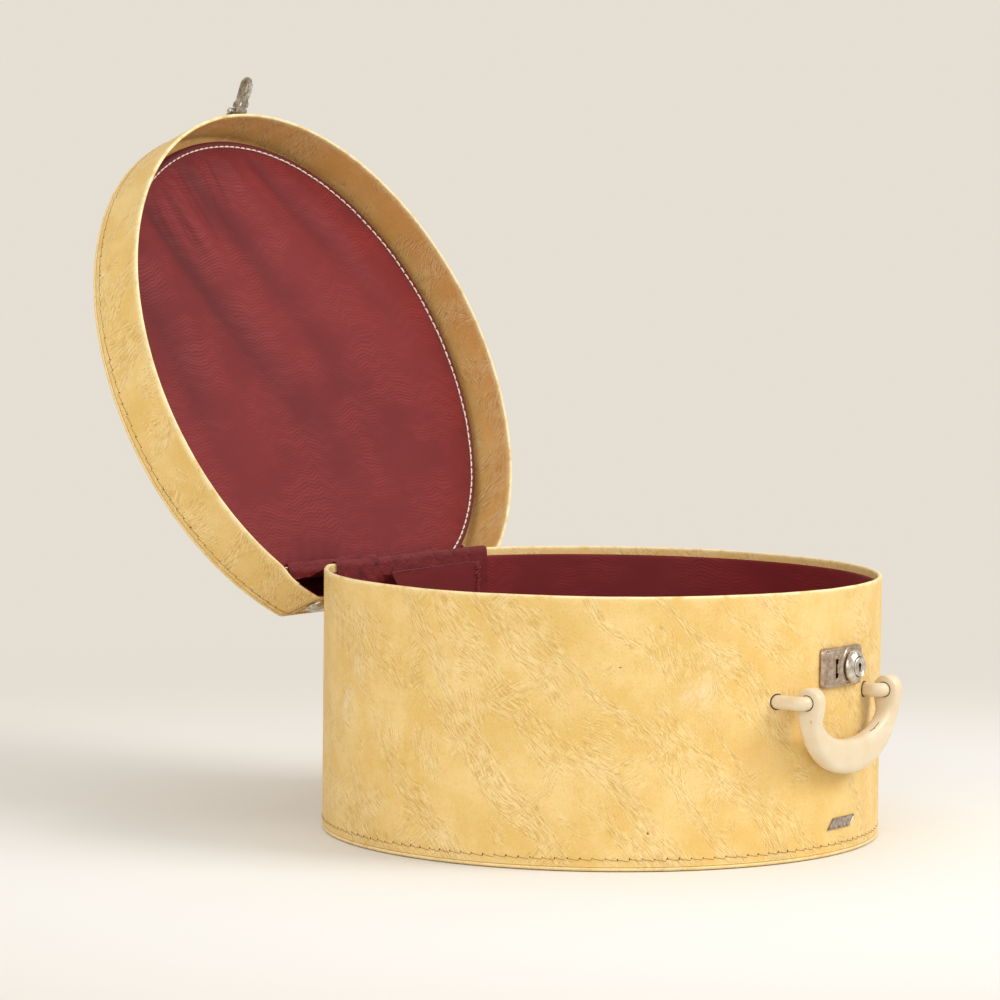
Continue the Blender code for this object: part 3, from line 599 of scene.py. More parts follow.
def moire(name, dark=(0.158, 0.0122, 0.0138), light=(0.305, 0.0275, 0.0300), amount=0.54,
          coords="UV", crumpled=False):
    """Watered cloth: level lines that wander in nested chevrons over a ribbed weave."""
    mat = new_material(name)
    at = mat.coords(coords)
    level = mat.node("SeparateXYZ", {0: at})[1 if coords == "UV" else 2]
    # Lines shift by these lengths, in metres
    slow = mat.noise(at, stretch=(36.0, 9.0, 9.0), detail=1.0)
    quick = mat.noise(at, stretch=(120.0, 34.0, 34.0), shift=(3, 7, 0), detail=1.0)
    push = mat.plus(mat.centred(slow, amount=0.0330), mat.centred(quick, amount=0.0080))
    place = mat.plus(level, push)

    def bands(pitch):
        return mat.math("MULTIPLY_ADD", mat.math("SINE", mat.times(place, 2 * math.pi / pitch)), 0.5, 0.5)

    lines = mat.ramp(bands(pitch=0.0027), between=(0.20, 0.92))
    wide = bands(pitch=0.0102)
    area = mat.noise(at, stretch=(16.0, 24.0, 24.0), shift=(4.0, 2.0, 0))
    area = mat.ramp(area, between=(0.36, 0.62), to=(0.10, 1.0))
    lustre = mat.times(mat.plus(mat.times(lines, 0.72), mat.times(wide, 0.28)), area)

    middle = tuple(0.5 * (first + second) for first, second in zip(dark, light))
    clouds = mat.patches(at, between=(0.35, 0.7), scale=6.0)
    colour = mat.tint(dark, middle, clouds, amount=0.55)
    colour = mat.tint(colour, light, lustre, amount)
    pores = mat.noise(at, scale=1400.0, rough=0.6)
    colour = mat.tint(colour, shade(dark, 0.55), pores, amount=0.22)
    slub = mat.patches(at, between=(0.55, 0.75), stretch=(90.0, 1900.0, 1900.0),
                       shift=(2, 1, 0), rough=0.6)
    colour = mat.tint(colour, light, slub, amount=0.28)
    if coords == "UV":
        # Painted shade from the per-point value: the padded panel's fold valleys and its edge by the seam
        colour = mat.tint(colour, shade(dark, 0.42), mat.wear_and_shade(), amount=0.60)
    weave = mat.noise(at, stretch=(300.0, 2300.0, 2300.0))
    height = mat.plus(mat.times(weave, 0.5), mat.times(lustre, 0.5))
    if crumpled:
        # Sharp little creases: scale across, scale along, amount
        folds = []
        for i, (across, along, part) in enumerate(((60.0, 95.0, 1.0), (150.0, 210.0, 0.6))):
            bend = mat.noise(at, turn=0.5 + i, stretch=(across, along, along),
                             shift=(i * 3.0, 5.0, 0))
            bend = mat.math("ABSOLUTE", mat.minus(bend, 0.5))
            folds.append(mat.times(mat.ramp(bend, between=(0.045, 0.0)), part))
        crease = mat.total(folds)
        height = mat.plus(height, mat.times(crease, 2.4))
        # Painted highlight along the creases' ridges, then painted shade in hollow patches
        painted_crease_highlight = mat.times(mat.ramp(crease, between=(0.25, 1.0)),
                          mat.patches(at, between=(0.44, 0.62), scale=50.0))
        colour = mat.tint(colour, shade(light, 1.35), painted_crease_highlight, amount=0.30)
        painted_hollow_shade = mat.patches(at, between=(0.50, 0.66), turn=0.9, stretch=(45.0, 80.0, 80.0),
                             shift=(1.0, 2.0, 0), detail=3.0, rough=0.6)
        colour = mat.tint(colour, shade(dark, 0.45), painted_hollow_shade, amount=0.55)
    rough = mat.minus(0.66, mat.times(lustre, 0.12))
    return mat.set(colour=colour, rough=rough, spec=0.25, sheen=0.06, sheen_rough=0.4,
                   sheen_tint=(0.9, 0.4, 0.4, 1.0),
                   normal=mat.bump(height, strength=0.5, depth=0.12))


def aged_metal(name, base=(0.30, 0.245, 0.19), bright=(0.56, 0.50, 0.42),
               dark=(0.060, 0.043, 0.030), rough=0.32, tarnish=0.6):
    """Worn nickel plate: tarnish in blotches, fine scratches, brighter high spots."""
    mat = new_material(name)
    at = mat.coords()
    blotch = mat.noise(at, scale=260.0, detail=4.0, rough=0.62)
    colour = mat.mix(mat.ramp(blotch, between=(0.36, 0.68)), base, bright)
    dull = mat.patches(at, between=(0.50, 0.66), scale=620.0, detail=4.0, rough=0.7)
    colour = mat.tint(colour, dark, dull, tarnish)
    scratch = mat.noise(at, turn=0.5, stretch=(3800.0, 120.0, 900.0), rough=0.6)
    colour = mat.tint(colour, bright, mat.ramp(scratch, between=(0.62, 0.74)), amount=0.45)
    fine = mat.noise(at, scale=1500.0, detail=3.0, rough=0.6)
    height = mat.plus(mat.times(fine, 0.4), mat.times(scratch, 0.5))
    return mat.set(colour=colour, rough=mat.plus(mat.times(blotch, 0.34), rough - 0.10),
                   metal=1.0, normal=mat.bump(height, strength=0.25, depth=0.06))


def ivory(name):
    """Moulded ivory plastic: faint flow marks, yellowing and handling wear."""
    mat = new_material(name)
    at = mat.coords()
    flow = mat.patches(at, between=(0.35, 0.7), turn=0.2, stretch=(30.0, 60.0, 90.0), detail=3.0)
    colour = mat.mix(flow, (0.715, 0.590, 0.405), (0.735, 0.640, 0.475))
    yellow = mat.patches(at, between=(0.52, 0.75), scale=55.0, detail=4.0, rough=0.6)
    colour = mat.tint(colour, (0.62, 0.45, 0.235), yellow, amount=0.35)
    specks = mat.patches(at, between=(0.66, 0.76), scale=900.0, rough=0.6)
    colour = mat.tint(colour, (0.55, 0.38, 0.19), specks, amount=0.35)
    cloudy = mat.noise(at, scale=180.0, detail=3.0, rough=0.6)
    grain = mat.noise(at, scale=420.0, detail=3.0, rough=0.6)
    return mat.set(colour=colour, rough=mat.plus(mat.times(cloudy, 0.20), 0.26), spec=0.5,
                   sss=0.12, sss_scale=0.004, sss_radius=(1.0, 0.75, 0.45),
                   normal=mat.bump(grain, strength=0.12, depth=0.08))


def thread(name, base, dark):
    mat = new_material(name)
    ply = mat.noise(mat.coords(), turn=0.7, stretch=(2600.0, 900.0, 2600.0), rough=0.6)
    return mat.set(colour=mat.mix(mat.ramp(ply, between=(0.35, 0.7)), dark, base), rough=0.75,
                   normal=mat.bump(ply, strength=0.6, depth=0.12))


# Near-black with a mottle: painted shade in needle holes, in the keyhole and in the gaps round the
# handle's pivots, and the dark line of hairline cracks
def painted_shade_and_grime(name):
    mat = new_material(name)
    at = mat.coords()
    dark_mottle = mat.patches(at, between=(0.3, 0.7), scale=900.0, detail=3.0, rough=0.6)
    rough = mat.ramp(mat.noise(at, scale=400.0), between=(0.3, 0.7), to=(0.7, 0.95))
    return mat.set(colour=mat.mix(dark_mottle, (0.020, 0.013, 0.008), (0.075, 0.048, 0.028)),
                   rough=rough, spec=0.15)


FINE_PLAN = case_plan(BASE_R, BASE_FLAT, CORNER, count=2001)


def round_at(degrees):
    """Metres round the wall to a direction in plan, 0 at +X and -90 at the lock."""
    wanted = np.array((math.cos(math.radians(degrees)), math.sin(math.radians(degrees))))
    points = FINE_PLAN.points
    match = (points @ wanted) / np.linalg.norm(points, axis=1)
    return float(FINE_PLAN.along[int(np.argmax(match))]) * 0.001


# Marks on the base's cover, and one painted shadow: distance round, height, half width, half height, all
# in metres
WALL_MARKS = (
    (round_at(153.0), 0.100, 0.014, 0.020, "scuff"),
    (round_at(157.0), 0.128, 0.006, 0.012, "scuff"),
    (round_at(-127.0), 0.119, 0.020, 0.015, "scuff"),
    # Painted shadow of the handle, left of and below its left arm
    (round_at(-112.0), 0.070, 0.030, 0.040, "stain"),
    (round_at(-136.6), 0.0245, 0.0012, 0.0012, "dot"),
    (round_at(-142.3), 0.139, 0.0013, 0.0006, "dot"),
)
BASE_COVER = leatherette("leatherette_base", marks=WALL_MARKS)
LID_COVER = leatherette("leatherette_lid", lean=-62.0)
# The same leatherette as outside, its colours darkened and warmed as painted shade for the lid's inner
# band
LID_INSIDE_SHADED = leatherette(
    "leatherette_lid_inside", base=(0.72, 0.405, 0.118), deep=(0.48, 0.235, 0.055),
    pale=(0.80, 0.50, 0.18), edge=(0.92, 0.76, 0.44), strength=0.7, lean=50.0)
STRIP_COVER = leatherette("leatherette_strip", base=(0.72, 0.45, 0.155))
CLOTH = moire("moire_lining")
DARK_CLOTH = moire("moire_dark", dark=(0.152, 0.0128, 0.0145), light=(0.250, 0.0245, 0.0265))
GATHERED_CLOTH = moire("moire_gathered", dark=(0.150, 0.0128, 0.0145),
                       light=(0.250, 0.0250, 0.0270), crumpled=True)
BORDER_CLOTH = moire("moire_border", dark=(0.115, 0.014, 0.020), light=(0.20, 0.030, 0.038),
                     amount=0.35)
NICKEL = aged_metal("aged_nickel")
BRIGHT = aged_metal("worn_nickel", base=(0.50, 0.44, 0.36), bright=(0.80, 0.75, 0.66),
                    tarnish=0.30, rough=0.24)
PLATE_METAL = aged_metal("worn_plate", base=(0.40, 0.295, 0.215), bright=(0.60, 0.49, 0.385),
                         dark=(0.11, 0.07, 0.045), tarnish=0.42)
SHADOWED = aged_metal("shadowed_steel", base=(0.060, 0.050, 0.042), bright=(0.11, 0.095, 0.08),
                      dark=(0.02, 0.016, 0.012), rough=0.55)
STEEL = aged_metal("plain_steel", base=(0.34, 0.32, 0.30), bright=(0.55, 0.53, 0.50), rough=0.38)
IVORY = ivory("ivory_plastic")
TAN_THREAD = thread("thread_tan", base=(0.50, 0.30, 0.115), dark=(0.26, 0.13, 0.045))
WHITE_THREAD = thread("thread_white", base=(0.96, 0.86, 0.72), dark=(0.80, 0.62, 0.47))
# Painted shade for holes, the keyhole and the gaps round the handle's pivots
HOLE_SHADE = painted_shade_and_grime("needle_holes")
CRACK = painted_shade_and_grime("hairline")

# ---------------------------------------------------------------- base


def base_wall():
    profile = [     # offset, height, wear
        (-2.9, 2.5), (-0.9, 2.45), (-0.35, 2.5), (-0.05, 2.75, 0.3), (0.0, 3.2, 0.1),
        (-0.12, 3.9), (-0.12, 4.3), (0.0, 4.8, 0.15), (0.05, 5.6),
        *((0.0, z) for z in np.linspace(8.0, 180.0, 34)),
        (0.02, 182.5, 0.1), (0.0, 184.0, 0.35),
        *arc(-1.5, 184.2, 1.5, 10, 90, 5, 0.9), *arc(-1.6, 184.3, 1.4, 95, 180, 5, 0.85),
        (-3.0, 183.4, 0.3), (-3.02, 181.0, 0.05), (-3.0, 178.0), (-3.0, 174.0), (-2.98, 160.0),
    ]
    grid, uv, wear_and_shade = swept(profile, BASE_PLAN)
    uneven = rippled(BASE_PLAN, (0.35, 0, 0.011, 3.1), (0.12, 0, 0.045, 9.0))
    for row, (_, z, *_) in zip(grid, profile):
        row[:, 2] += 1.1 * uneven * max(0.0, (z - 120.0) / 65.0)
        bulge = rippled(BASE_PLAN, (0.30, z, 0.016, 1.0)) * clamp((z - 6.0) / 20.0)
        row[:, :2] += BASE_PLAN.normals * bulge[:, None]
    shell = sheet("base_shell", grid, uv, wear_and_shade, BASE_COVER, "base", "leatherette", "base_wall")
    # Opening in the wall for the lock, behind its plate, in metres
    bm = bmesh.new()
    bm.from_mesh(shell.data)
    behind_plate = []
    for face in bm.faces:
        centre = face.calc_center_median()
        if centre.y < -0.15 and abs(centre.x) < 0.0205 and 0.1205 < centre.z < 0.1405:
            behind_plate.append(face)
    bmesh.ops.delete(bm, geom=behind_plate, context="FACES")
    bm.to_mesh(shell.data)
    bm.free()


def base_bottom():
    profile = (     # offset, height, wear
        (-6.0, 2.38), (-0.6, 2.36), (0.05, 2.30, 0.2), (0.30, 2.02, 0.8), (0.34, 1.4, 0.5),
        (0.30, 0.75, 0.3), (0.05, 0.25, 0.4), (-0.4, 0.02, 0.6), (-1.4, 0.0, 0.2),
        (-5.0, 0.0, 0.1),
    )
    edge = swept(profile, BASE_PLAN)
    board = stacked(edge, drawn_in(edge[0][-1], (0.92, 0.8, 0.6, 0.4, 0.2, 0.02)))
    sheet("base_bottom_board", *board, BASE_COVER, "base", "leatherette", "base_bottom",
          fill_end=True)


def stitches(body, plan, height, drop, pose=np.asarray):
    """Slanted stitches round a plan, each starting from a needle hole."""
    def place(distance, rise):
        distance = distance % plan.along[-1]
        x, y, across, back = (
            np.interp(distance, plan.along, values)
            for values in (*plan.points.T, *plan.normals.T)
        )
        normal = np.array((across, back, 0.0))
        normal /= np.linalg.norm(normal)
        return np.array((x, y, height + rise)) + normal * 0.05, normal

    threads, holes = [], []
    lift, radius = 0.10, 0.20
    total = plan.along[-1]
    count = int(round(total / STITCH_PITCH))
    for i in range(count):
        start = total * i / count
        end = start + total / count * 0.93
        jog = rng.normal(0, 0.18)
        first, first_out = place(start + 0.6, jog)
        last, last_out = place(end, drop + jog)
        mid, mid_out = place((start + end) / 2 + 0.3, drop * 0.5 + jog)
        line = [
            first - first_out * 0.5, first + first_out * 0.12,
            (first + mid) / 2 + mid_out * lift, mid + mid_out * lift,
            (last + mid) / 2 + mid_out * lift,
            last + last_out * 0.12, last - last_out * 0.5,
        ]
        radii = [radius * 0.8] + [radius] * 5 + [radius * 0.8]
        threads.append(tube(pose(np.array(line)), radii, 6))
        # Each needle hole is a flat dark ellipse: painted shade for the hole
        centre, out = place(start + rng.normal(0, 0.12), 0.25 + jog)
        lean = rng.normal(0.5, 0.18)
        ahead, _ = place(start + 1.0, 0.25 + jog)
        tangent = (ahead - centre) / max(np.linalg.norm(ahead - centre), 1e-6)
        up = np.cross(out, tangent)
        up = up if up[2] > 0 else -up
        long_axis = up * math.cos(lean) + tangent * math.sin(lean)
        short_axis = np.cross(out, long_axis)
        size = rng.uniform(0.75, 1.15)
        points = [
            centre + out * 0.08 + long_axis * math.cos(angle) * 0.95 * size
            + short_axis * math.sin(angle) * 0.36 * size
            for angle in np.linspace(0, 2 * math.pi, 11)[:-1]
        ]
        points.append(centre + out * 0.16)
        holes.append((pose(np.array(points)), [[k, (k + 1) % 10, 10] for k in range(10)]))
    build(body + "_stitches", joined(threads), TAN_THREAD, body)
    build(body + "_stitch_holes", joined(holes), HOLE_SHADE, body)


def base_lining():
    plan = LINING_PLAN
    profile = [     # offset, height
        (0.0, 179.6), (-0.5, 179.7), (-0.9, 179.3), (-1.0, 178.0),
        *((-1.0, z) for z in np.linspace(175, 8, 26)), (-1.6, 5.6), (-3.0, 4.3), (-6.0, 3.9),
    ]
    grid, uv, wear_and_shade = swept(profile, plan)
    for row, (_, z) in zip(grid[2:], profile[2:]):
        puff = rippled(plan, (0.55, z * 0.35, 0.020, 5.0), (0.22, z * 0.25, 0.07, 8.0))
        row[:, :2] -= plan.normals * (0.25 + np.maximum(puff, -0.35))[:, None]
    sheet("base_lining_cloth", grid, uv, wear_and_shade, CLOTH, "base", "lining", "base_lining_wall")

    edge = np.column_stack([plan.points - plan.normals * 4.0, np.full(COLUMNS, 3.9)])
    floor = drawn_in(edge, np.linspace(1.0, 0.02, 14), wave=0.25, wave_scale=0.02, seed=2.0)
    sheet("base_floor_cloth", *floor, CLOTH, "base", "lining", "base_lining_floor", fill_end=True)


# ---------------------------------------------------------------- lid

LINED_FROM = 166.0    # y past which the inside of the lid has the gusset's cloth


def lid_side(profile, rise=0.0, crumple=0.0, top_share=1.0):
    """A profile carried round the lid. The lower edge is cut back along the flat, so that it
    swings clear of the base. top_share is how much the wall's ripple reaches past z = 186."""
    cut = np.clip((LID_PLAN.points[:, 1] - 152.0) / 14.0, 0, 1)
    lift = 3.9 * cut * cut * (3 - 2 * cut) + rippled(LID_PLAN, (rise, 0.0, 0.012, 12.0))
    grid, uv, wear_and_shade = swept(profile, LID_PLAN)
    for row, (_, z, *_) in zip(grid, profile):
        row[:, 2] += lift * clamp((170.0 - z) / 22.0)
        ripple = rippled(LID_PLAN, (0.28, z, 0.014, 6.0), (crumple, z, 0.08, 2.0))
        row[:, :2] += LID_PLAN.normals * (ripple * (1 if z < 186 else top_share))[:, None]
    return grid, uv, wear_and_shade


def line_with_cloth(obj, wanted):
    """Gives faces the hinge lining's cloth. wanted takes a face centre with the lid shut."""
    obj.data.materials.append(DARK_CLOTH)
    middles = np.array([obj.matrix_world @ face.center for face in obj.data.polygons]) * 1000.0
    for face, middle in zip(obj.data.polygons, turn_x(middles, LID_ANGLE, HINGE)):
        if wanted(middle):
            face.material_index = 1


def lid_band():
    outside = [     # offset, height, wear
        (-2.4, LID_RIM + 4.0, 0.1), (-2.4, LID_RIM + 2.2, 0.5),
        *arc(-1.2, LID_RIM + 1.3, 1.2, 180, 360, 8, 1.0),
        (0.0, LID_RIM + 2.4, 0.6), (0.02, LID_RIM + 4.0, 0.15),
        *((0.0, z) for z in np.linspace(LID_RIM + 6.0, 184.5, 12)),
        (0.05, 185.6, 0.1), (-0.1, 186.6), (0.05, 187.5, 0.2), (-0.15, 187.95, 0.1),
        (-0.75, 188.1), (-1.5, 188.2),
    ]
    band = sheet("lid_band_cover", *lid_side(outside, rise=0.55, top_share=0.4), LID_COVER,
                 "lid", "leatherette", "lid_band", opened)
    points = LID_PLAN.points

    def inner_face(middle):
        inset = np.min(np.hypot(points[:, 0] - middle[0], points[:, 1] - middle[1]))
        return middle[1] > LINED_FROM and middle[2] > LID_RIM + 4.0 and inset > 1.3

    line_with_cloth(band, inner_face)
    inside = [      # offset, height, wear
        (-2.40, LID_RIM + 2.6, 0.55), (-2.42, LID_RIM + 5.0),
        *((-2.42, z) for z in np.linspace(LID_RIM + 9, 187.0, 9)), (-4.0, 187.9), (-12.0, 188.0),
    ]
    band = sheet("lid_band_inside", *lid_side(inside, crumple=0.10), LID_INSIDE_SHADED, "lid",
                 "leatherette", pose=opened)
    line_with_cloth(band, lambda middle: middle[1] > LINED_FROM)


def lid_hinge_lining():
    """Cloth under the top board, between the padded panel and the hinge."""
    def place(down, across):
        x = -143.0 + 286.0 * across
        reach = min(LID_FLAT - 2.7, math.sqrt((LID_R - 2.8) ** 2 - x * x))
        y = 140.0 + (reach - 140.0) * down
        return x, y, 187.35 - 0.35 * wobble(x, y, 0, 0.06, 3.0) ** 2, x, y

    sheet("lid_hinge_lining", *plotted(14, 90, place), None, GATHERED_CLOTH, "lid",
          "lining_dark", pose=opened)


def lid_top():
    profile = (     # offset, height, wear
        (-5.0, 188.3), (-0.5, 188.32), (0.05, 188.4, 0.2), (0.32, 188.75, 0.8),
        (0.36, 189.4, 0.4), (0.30, 190.0, 0.4), (0.0, 190.5, 0.6), (-0.7, 190.72, 0.5),
        (-2.4, 190.74, 0.1), (-6.0, 190.7),
    )
    edge = swept(profile, LID_PLAN)
    middle = drawn_in(edge[0][-1], np.linspace(0.95, 0.02, 14),
                      crown=0.4, wave=0.5, wave_scale=0.012, seed=4.0)
    sheet("lid_top_board", *stacked(edge, middle), LID_COVER, "lid", "leatherette", "lid_top",
          opened, fill_end=True)


# ---------------------------------------------------------------- lid's padded lining

PILLOW_R, PILLOW_BACK, PILLOW_Z = 195.3, 151.5, 176.0
SEAM_INSET = 5.4


def pillow_plan():
    """Plan of the lining, its back drawn in to swing clear of the base's wall."""
    points = case_plan(PILLOW_R, PILLOW_BACK, 10.0).points
    room = np.sqrt(np.maximum((BASE_R - WALL) ** 2 - points[:, 0] ** 2, 0.0))
    wall_y = np.minimum(INNER_FLAT, room)
    reach = np.sqrt((HINGE[1] - wall_y + 1.0) ** 2 + (RIM_Z + 0.4 - HINGE[2]) ** 2
                    - (PILLOW_Z + 2.6 - HINGE[2]) ** 2)
    points[:, 1] = np.minimum(points[:, 1], HINGE[1] - reach - 0.3)
    tangents = np.roll(points, -1, 0) - np.roll(points, 1, 0)
    tangents[0] = tangents[-1] = points[1] - points[-2]
    normals = np.stack([tangents[:, 1], -tangents[:, 0]], 1)
    normals /= np.linalg.norm(tangents, axis=1, keepdims=True)
    return Plan(points, normals, running_length(points))


PILLOW = pillow_plan()

# Folds of the panel, from x, y to x, y: width, height (towards the viewer positive), fade
FOLDS = (
    (-112, -140, 6, 70, 12.0, -3.6, 0.8), (-88, -158, 34, 66, 10.0, 2.8, 0.8),
    (-62, -170, 74, 44, 14.0, -2.0, 0.65), (-20, -182, 116, -10, 10.0, 2.2, 0.6),
    (26, -182, 132, -46, 9.0, -1.9, 0.6), (-140, -112, -62, 96, 13.0, 2.4, 0.75),
    (-160, -76, -104, 110, 12.0, -1.8, 0.75), (66, -168, 156, -34, 10.0, 1.6, 0.5),
    (-104, -150, -84, -72, 3.4, 1.9, 0.6), (-92, -156, -70, -84, 3.0, -1.9, 0.6),
    (-78, -163, -58, -92, 3.2, 1.7, 0.6), (-64, -170, -46, -104, 3.0, -1.6, 0.6),
    (-48, -176, -34, -112, 3.2, 1.5, 0.6), (-30, -181, -16, -126, 3.0, -1.4, 0.6),
    (-10, -184, 4, -136, 3.2, 1.2, 0.6),
)


def fold_at(x, y):
    """Height of the folds at a place in plan, and how deep in a valley it lies, 0 to 1."""
    total, valley = 0.0, 0.0
    for x0, y0, x1, y1, width, height, fade in FOLDS:
        run_x, run_y = x1 - x0, y1 - y0
        length = math.hypot(run_x, run_y)
        along = ((x - x0) * run_x + (y - y0) * run_y) / length ** 2
        across = ((x - x0) * run_y - (y - y0) * run_x) / length
        across += (5.0 if width > 6 else 1.2) * math.sin(along * 3.2 + x0 * 0.05)
        share = clamp((along + 0.05) / 0.08) * clamp((1.12 - along) / fade)
        share *= bell(across, width * (0.8 + 0.9 * max(along, 0)))
        total += height * share
        if height < 0:
            valley = max(valley, share * min(1.0, -height / 3.0))
    return total, valley


def lid_border():
    profile = (     # offset, height
        (0.0, 187.6), (0.05, 182.0), (0.0, 179.4), (-0.5, 177.8), (-1.5, 176.5), (-2.9, 175.75),
        (-4.2, 175.9), (-5.2, 176.6), (-5.9, 177.3), (-6.5, 177.5),
    )
    grid, uv, wear_and_shade = swept(profile, PILLOW)
    for i in range(2, len(profile)):
        pinch = 0.18 * np.sin(PILLOW.along * 2 * math.pi / 6.3)
        pinch += rippled(PILLOW, (0.3, i * 0.6, 0.09, 3.0))
        pinch[-1] = pinch[0]
        grid[i, :, 2] += pinch * 0.6
    sheet("lid_lining_border", grid, uv, wear_and_shade, BORDER_CLOTH, "lid", "lining", pose=opened)


def lid_panel():
    scales = np.concatenate([np.linspace(1.0, 0.9, 12), np.linspace(0.885, 0.02, 46)])
    centre = np.array((0.0, -18.0))
    edge = PILLOW.points - PILLOW.normals * (SEAM_INSET - 0.3)
    grid = np.zeros((len(scales), COLUMNS, 3))
    painted_shade = np.zeros((len(scales), COLUMNS))
    for i, scale in enumerate(scales):
        inset = (1.0 - scale) * 180.0
        start = min(1.0, inset / 5.0)
        crown = 2.6 * (1 - math.exp(-inset / 16.0))
        for j, (x, y) in enumerate((edge - centre) * scale + centre):
            wave = math.sin(PILLOW.along[j] * 0.42 + 2.2 * wobble(x, y, 0, 0.02, 1.0))
            pucker = 0.55 * math.exp(-inset / 9.0) * (wave + 0.8 * wobble(x, y, 0, 0.16, 4.0))
            fold, valley = fold_at(x, y)
            z = PILLOW_Z + 1.5 - crown - start * (fold * (1 - math.exp(-inset / 9.0)) + pucker)
            z -= 0.5 * wobble(x, y, 0, 0.018, 7.0) * start
            # Painted shade: darker in the folds' valleys and next to the seam, handed to the cloth as its
            # per-point value
            painted_shade[i, j] = valley * start + 0.55 * math.exp(-inset / 5.0)
            grid[i, j] = (x, y, z)
    uv = grid[..., :2] * 0.001
    grid[:, -1] = grid[:, 0]
    sheet("lid_lining_cloth", grid, uv, painted_shade, CLOTH, "lid", "lining", "lid_lining", opened,
          fill_end=True)


def lid_seam():
    """Running stitch between the border and the panel."""
    pitch, dash_length = 6.3, 5.85
    seam = PILLOW.points - PILLOW.normals * (SEAM_INSET - 0.2)
    along = running_length(seam)
    dashes = []
    count = int(along[-1] / pitch)
    for i in range(count):
        line = []
        for part in np.linspace(0, 1, 7):
            distance = along[-1] * i / count + part * dash_length
            x = np.interp(distance, along, seam[:, 0])
            y = np.interp(distance, along, seam[:, 1])
            lift = math.sin(math.pi * part) ** 0.5 * 0.65
            line.append((x, y, PILLOW_Z + 1.15 - lift + 0.3 * wobble(x, y, 0, 0.1, 2.0)))
        dashes.append(tube(opened(np.array(line)), [0.4, 0.55, 0.62, 0.62, 0.62, 0.55, 0.4], 7))
    build("lid_seam_thread", joined(dashes), WHITE_THREAD, "lid")


# ---------------------------------------------------------------- hinge gusset


def hinge_gusset():
    """Cloth from the base's back wall, over the rim, to the lid's lining."""
    half_width = high("hinge_gusset")[0]
    lid_end = opened(np.array([[0, 155.0, 178.4], [0, 150.5, 175.6], [0, 143.0, 174.6]]))[:, 1:]
    profile = [     # y, z
        (INNER_FLAT - 1.6, 132.0), (INNER_FLAT - 1.9, 150.0), (INNER_FLAT - 1.8, 166.0),
        (INNER_FLAT - 1.8, 178.0), (INNER_FLAT - 1.5, 184.0), (INNER_FLAT - 0.6, 186.4),
        (INNER_FLAT + 1.0, 187.25), (INNER_FLAT + 2.8, 187.2),
    ]
    rim_end = np.array(profile[-1])
    steps = 14
    for i in range(1, steps + 1):
        point = rim_end + (lid_end[0] - rim_end) * (i / steps)
        point[1] -= 3.2 * math.sin(math.pi * (i / steps))
        profile.append(tuple(point))
    profile += [tuple(lid_end[1]), tuple(lid_end[2])]
    for _ in range(2):      # halve every step
        finer = []
        for here, there in zip(profile, profile[1:]):
            finer += [here, ((here[0] + there[0]) / 2, (here[1] + there[1]) / 2)]
        profile = finer + [profile[-1]]
    lengths = running_length(np.array(profile))

    def place(down, across):
        i = round(down * (len(profile) - 1))
        (y, z), length = profile[i], lengths[i]
        x = -half_width + 2 * half_width * across
        rumple = (0.55 * wobble(x, length, 0, 0.05, 2.0) + 0.45 * wobble(x, length, 0, 0.14, 5.0)
                  + 0.22 * wobble(x, length, 0, 0.33, 8.0))
        over = clamp((i - 20) / 6.0)
        slack = 0.30 + 0.70 * clamp((i - 30) / 8.0)
        return (x + 0.6 * wobble(x, length, 3, 0.04, 1.0),
                y - max(-0.3, rumple) * (1 - over) * 0.9,
                z + over * (rumple * slack * 1.8 - 0.25), x, length)

    gusset = sheet("hinge_gusset_cloth", *plotted(len(profile), 220, place), None,
                   GATHERED_CLOTH, None, "lining_dark", "hinge_gusset")
    solidify = gusset.modifiers.new("thickness", "SOLIDIFY")
    solidify.thickness, solidify.offset = 0.5 * 0.001, 0.0
    apply_modifier(gusset, solidify)
    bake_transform(gusset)


# ---------------------------------------------------------------- pocket in the base

POCKET_X0, POCKET_X1 = low("pocket_panel")[0], high("pocket_panel")[0]
POCKET_WIDTH = POCKET_X1 - POCKET_X0


def pocket_front(x):
    return 157.0 + 7.5 * min(1.0, (x - POCKET_X0) / POCKET_WIDTH * 8 / 6)


def pocket_left(z):
    """The free end leans: its top corner reaches furthest."""
    return POCKET_X0 + 0.95 * min(11.0, max(0.0, 175.5 - z))


def pocket_panel():
    """Card covered in cloth, its left end standing off the wall."""
    across = np.linspace(0, 1, 72)
    heights = np.concatenate([np.linspace(85.0, 172.0, 30), np.linspace(173.0, 176.2, 4)])

    def row(z, set_back, ripple, end_dip):
        left = pocket_left(z)
        points = []
        for part in across:
            x = left + (POCKET_X1 - left) * part
            y = pocket_front(x) + set_back + ripple * wobble(x, z, 0, 0.06, 4.0)
            points.append((x, y - end_dip * bell(1 - part, 0.02), z))
        return points

    rows = [row(z, 0.0, 0.35, 0.25) for z in heights]
    for angle in np.radians((150, 110, 70, 30)):
        rows.append([
            (x, pocket_front(x) + 0.55 + 0.6 * math.cos(angle), 176.4 + 0.7 * math.sin(angle))
            for x in POCKET_X0 + POCKET_WIDTH * across
        ])
    rows += [row(z, 1.15, 0.2, 0.0) for z in heights[::-1]]
    grid = np.array(rows)
    span = np.broadcast_to(running_length(grid[:, 0])[:, None], grid.shape[:2])
    uv = np.stack([grid[..., 0], span], -1) * 0.001
    sheet("pocket_panel_cloth", grid, uv, None, DARK_CLOTH, "base", "lining_dark",
          "pocket_panel")


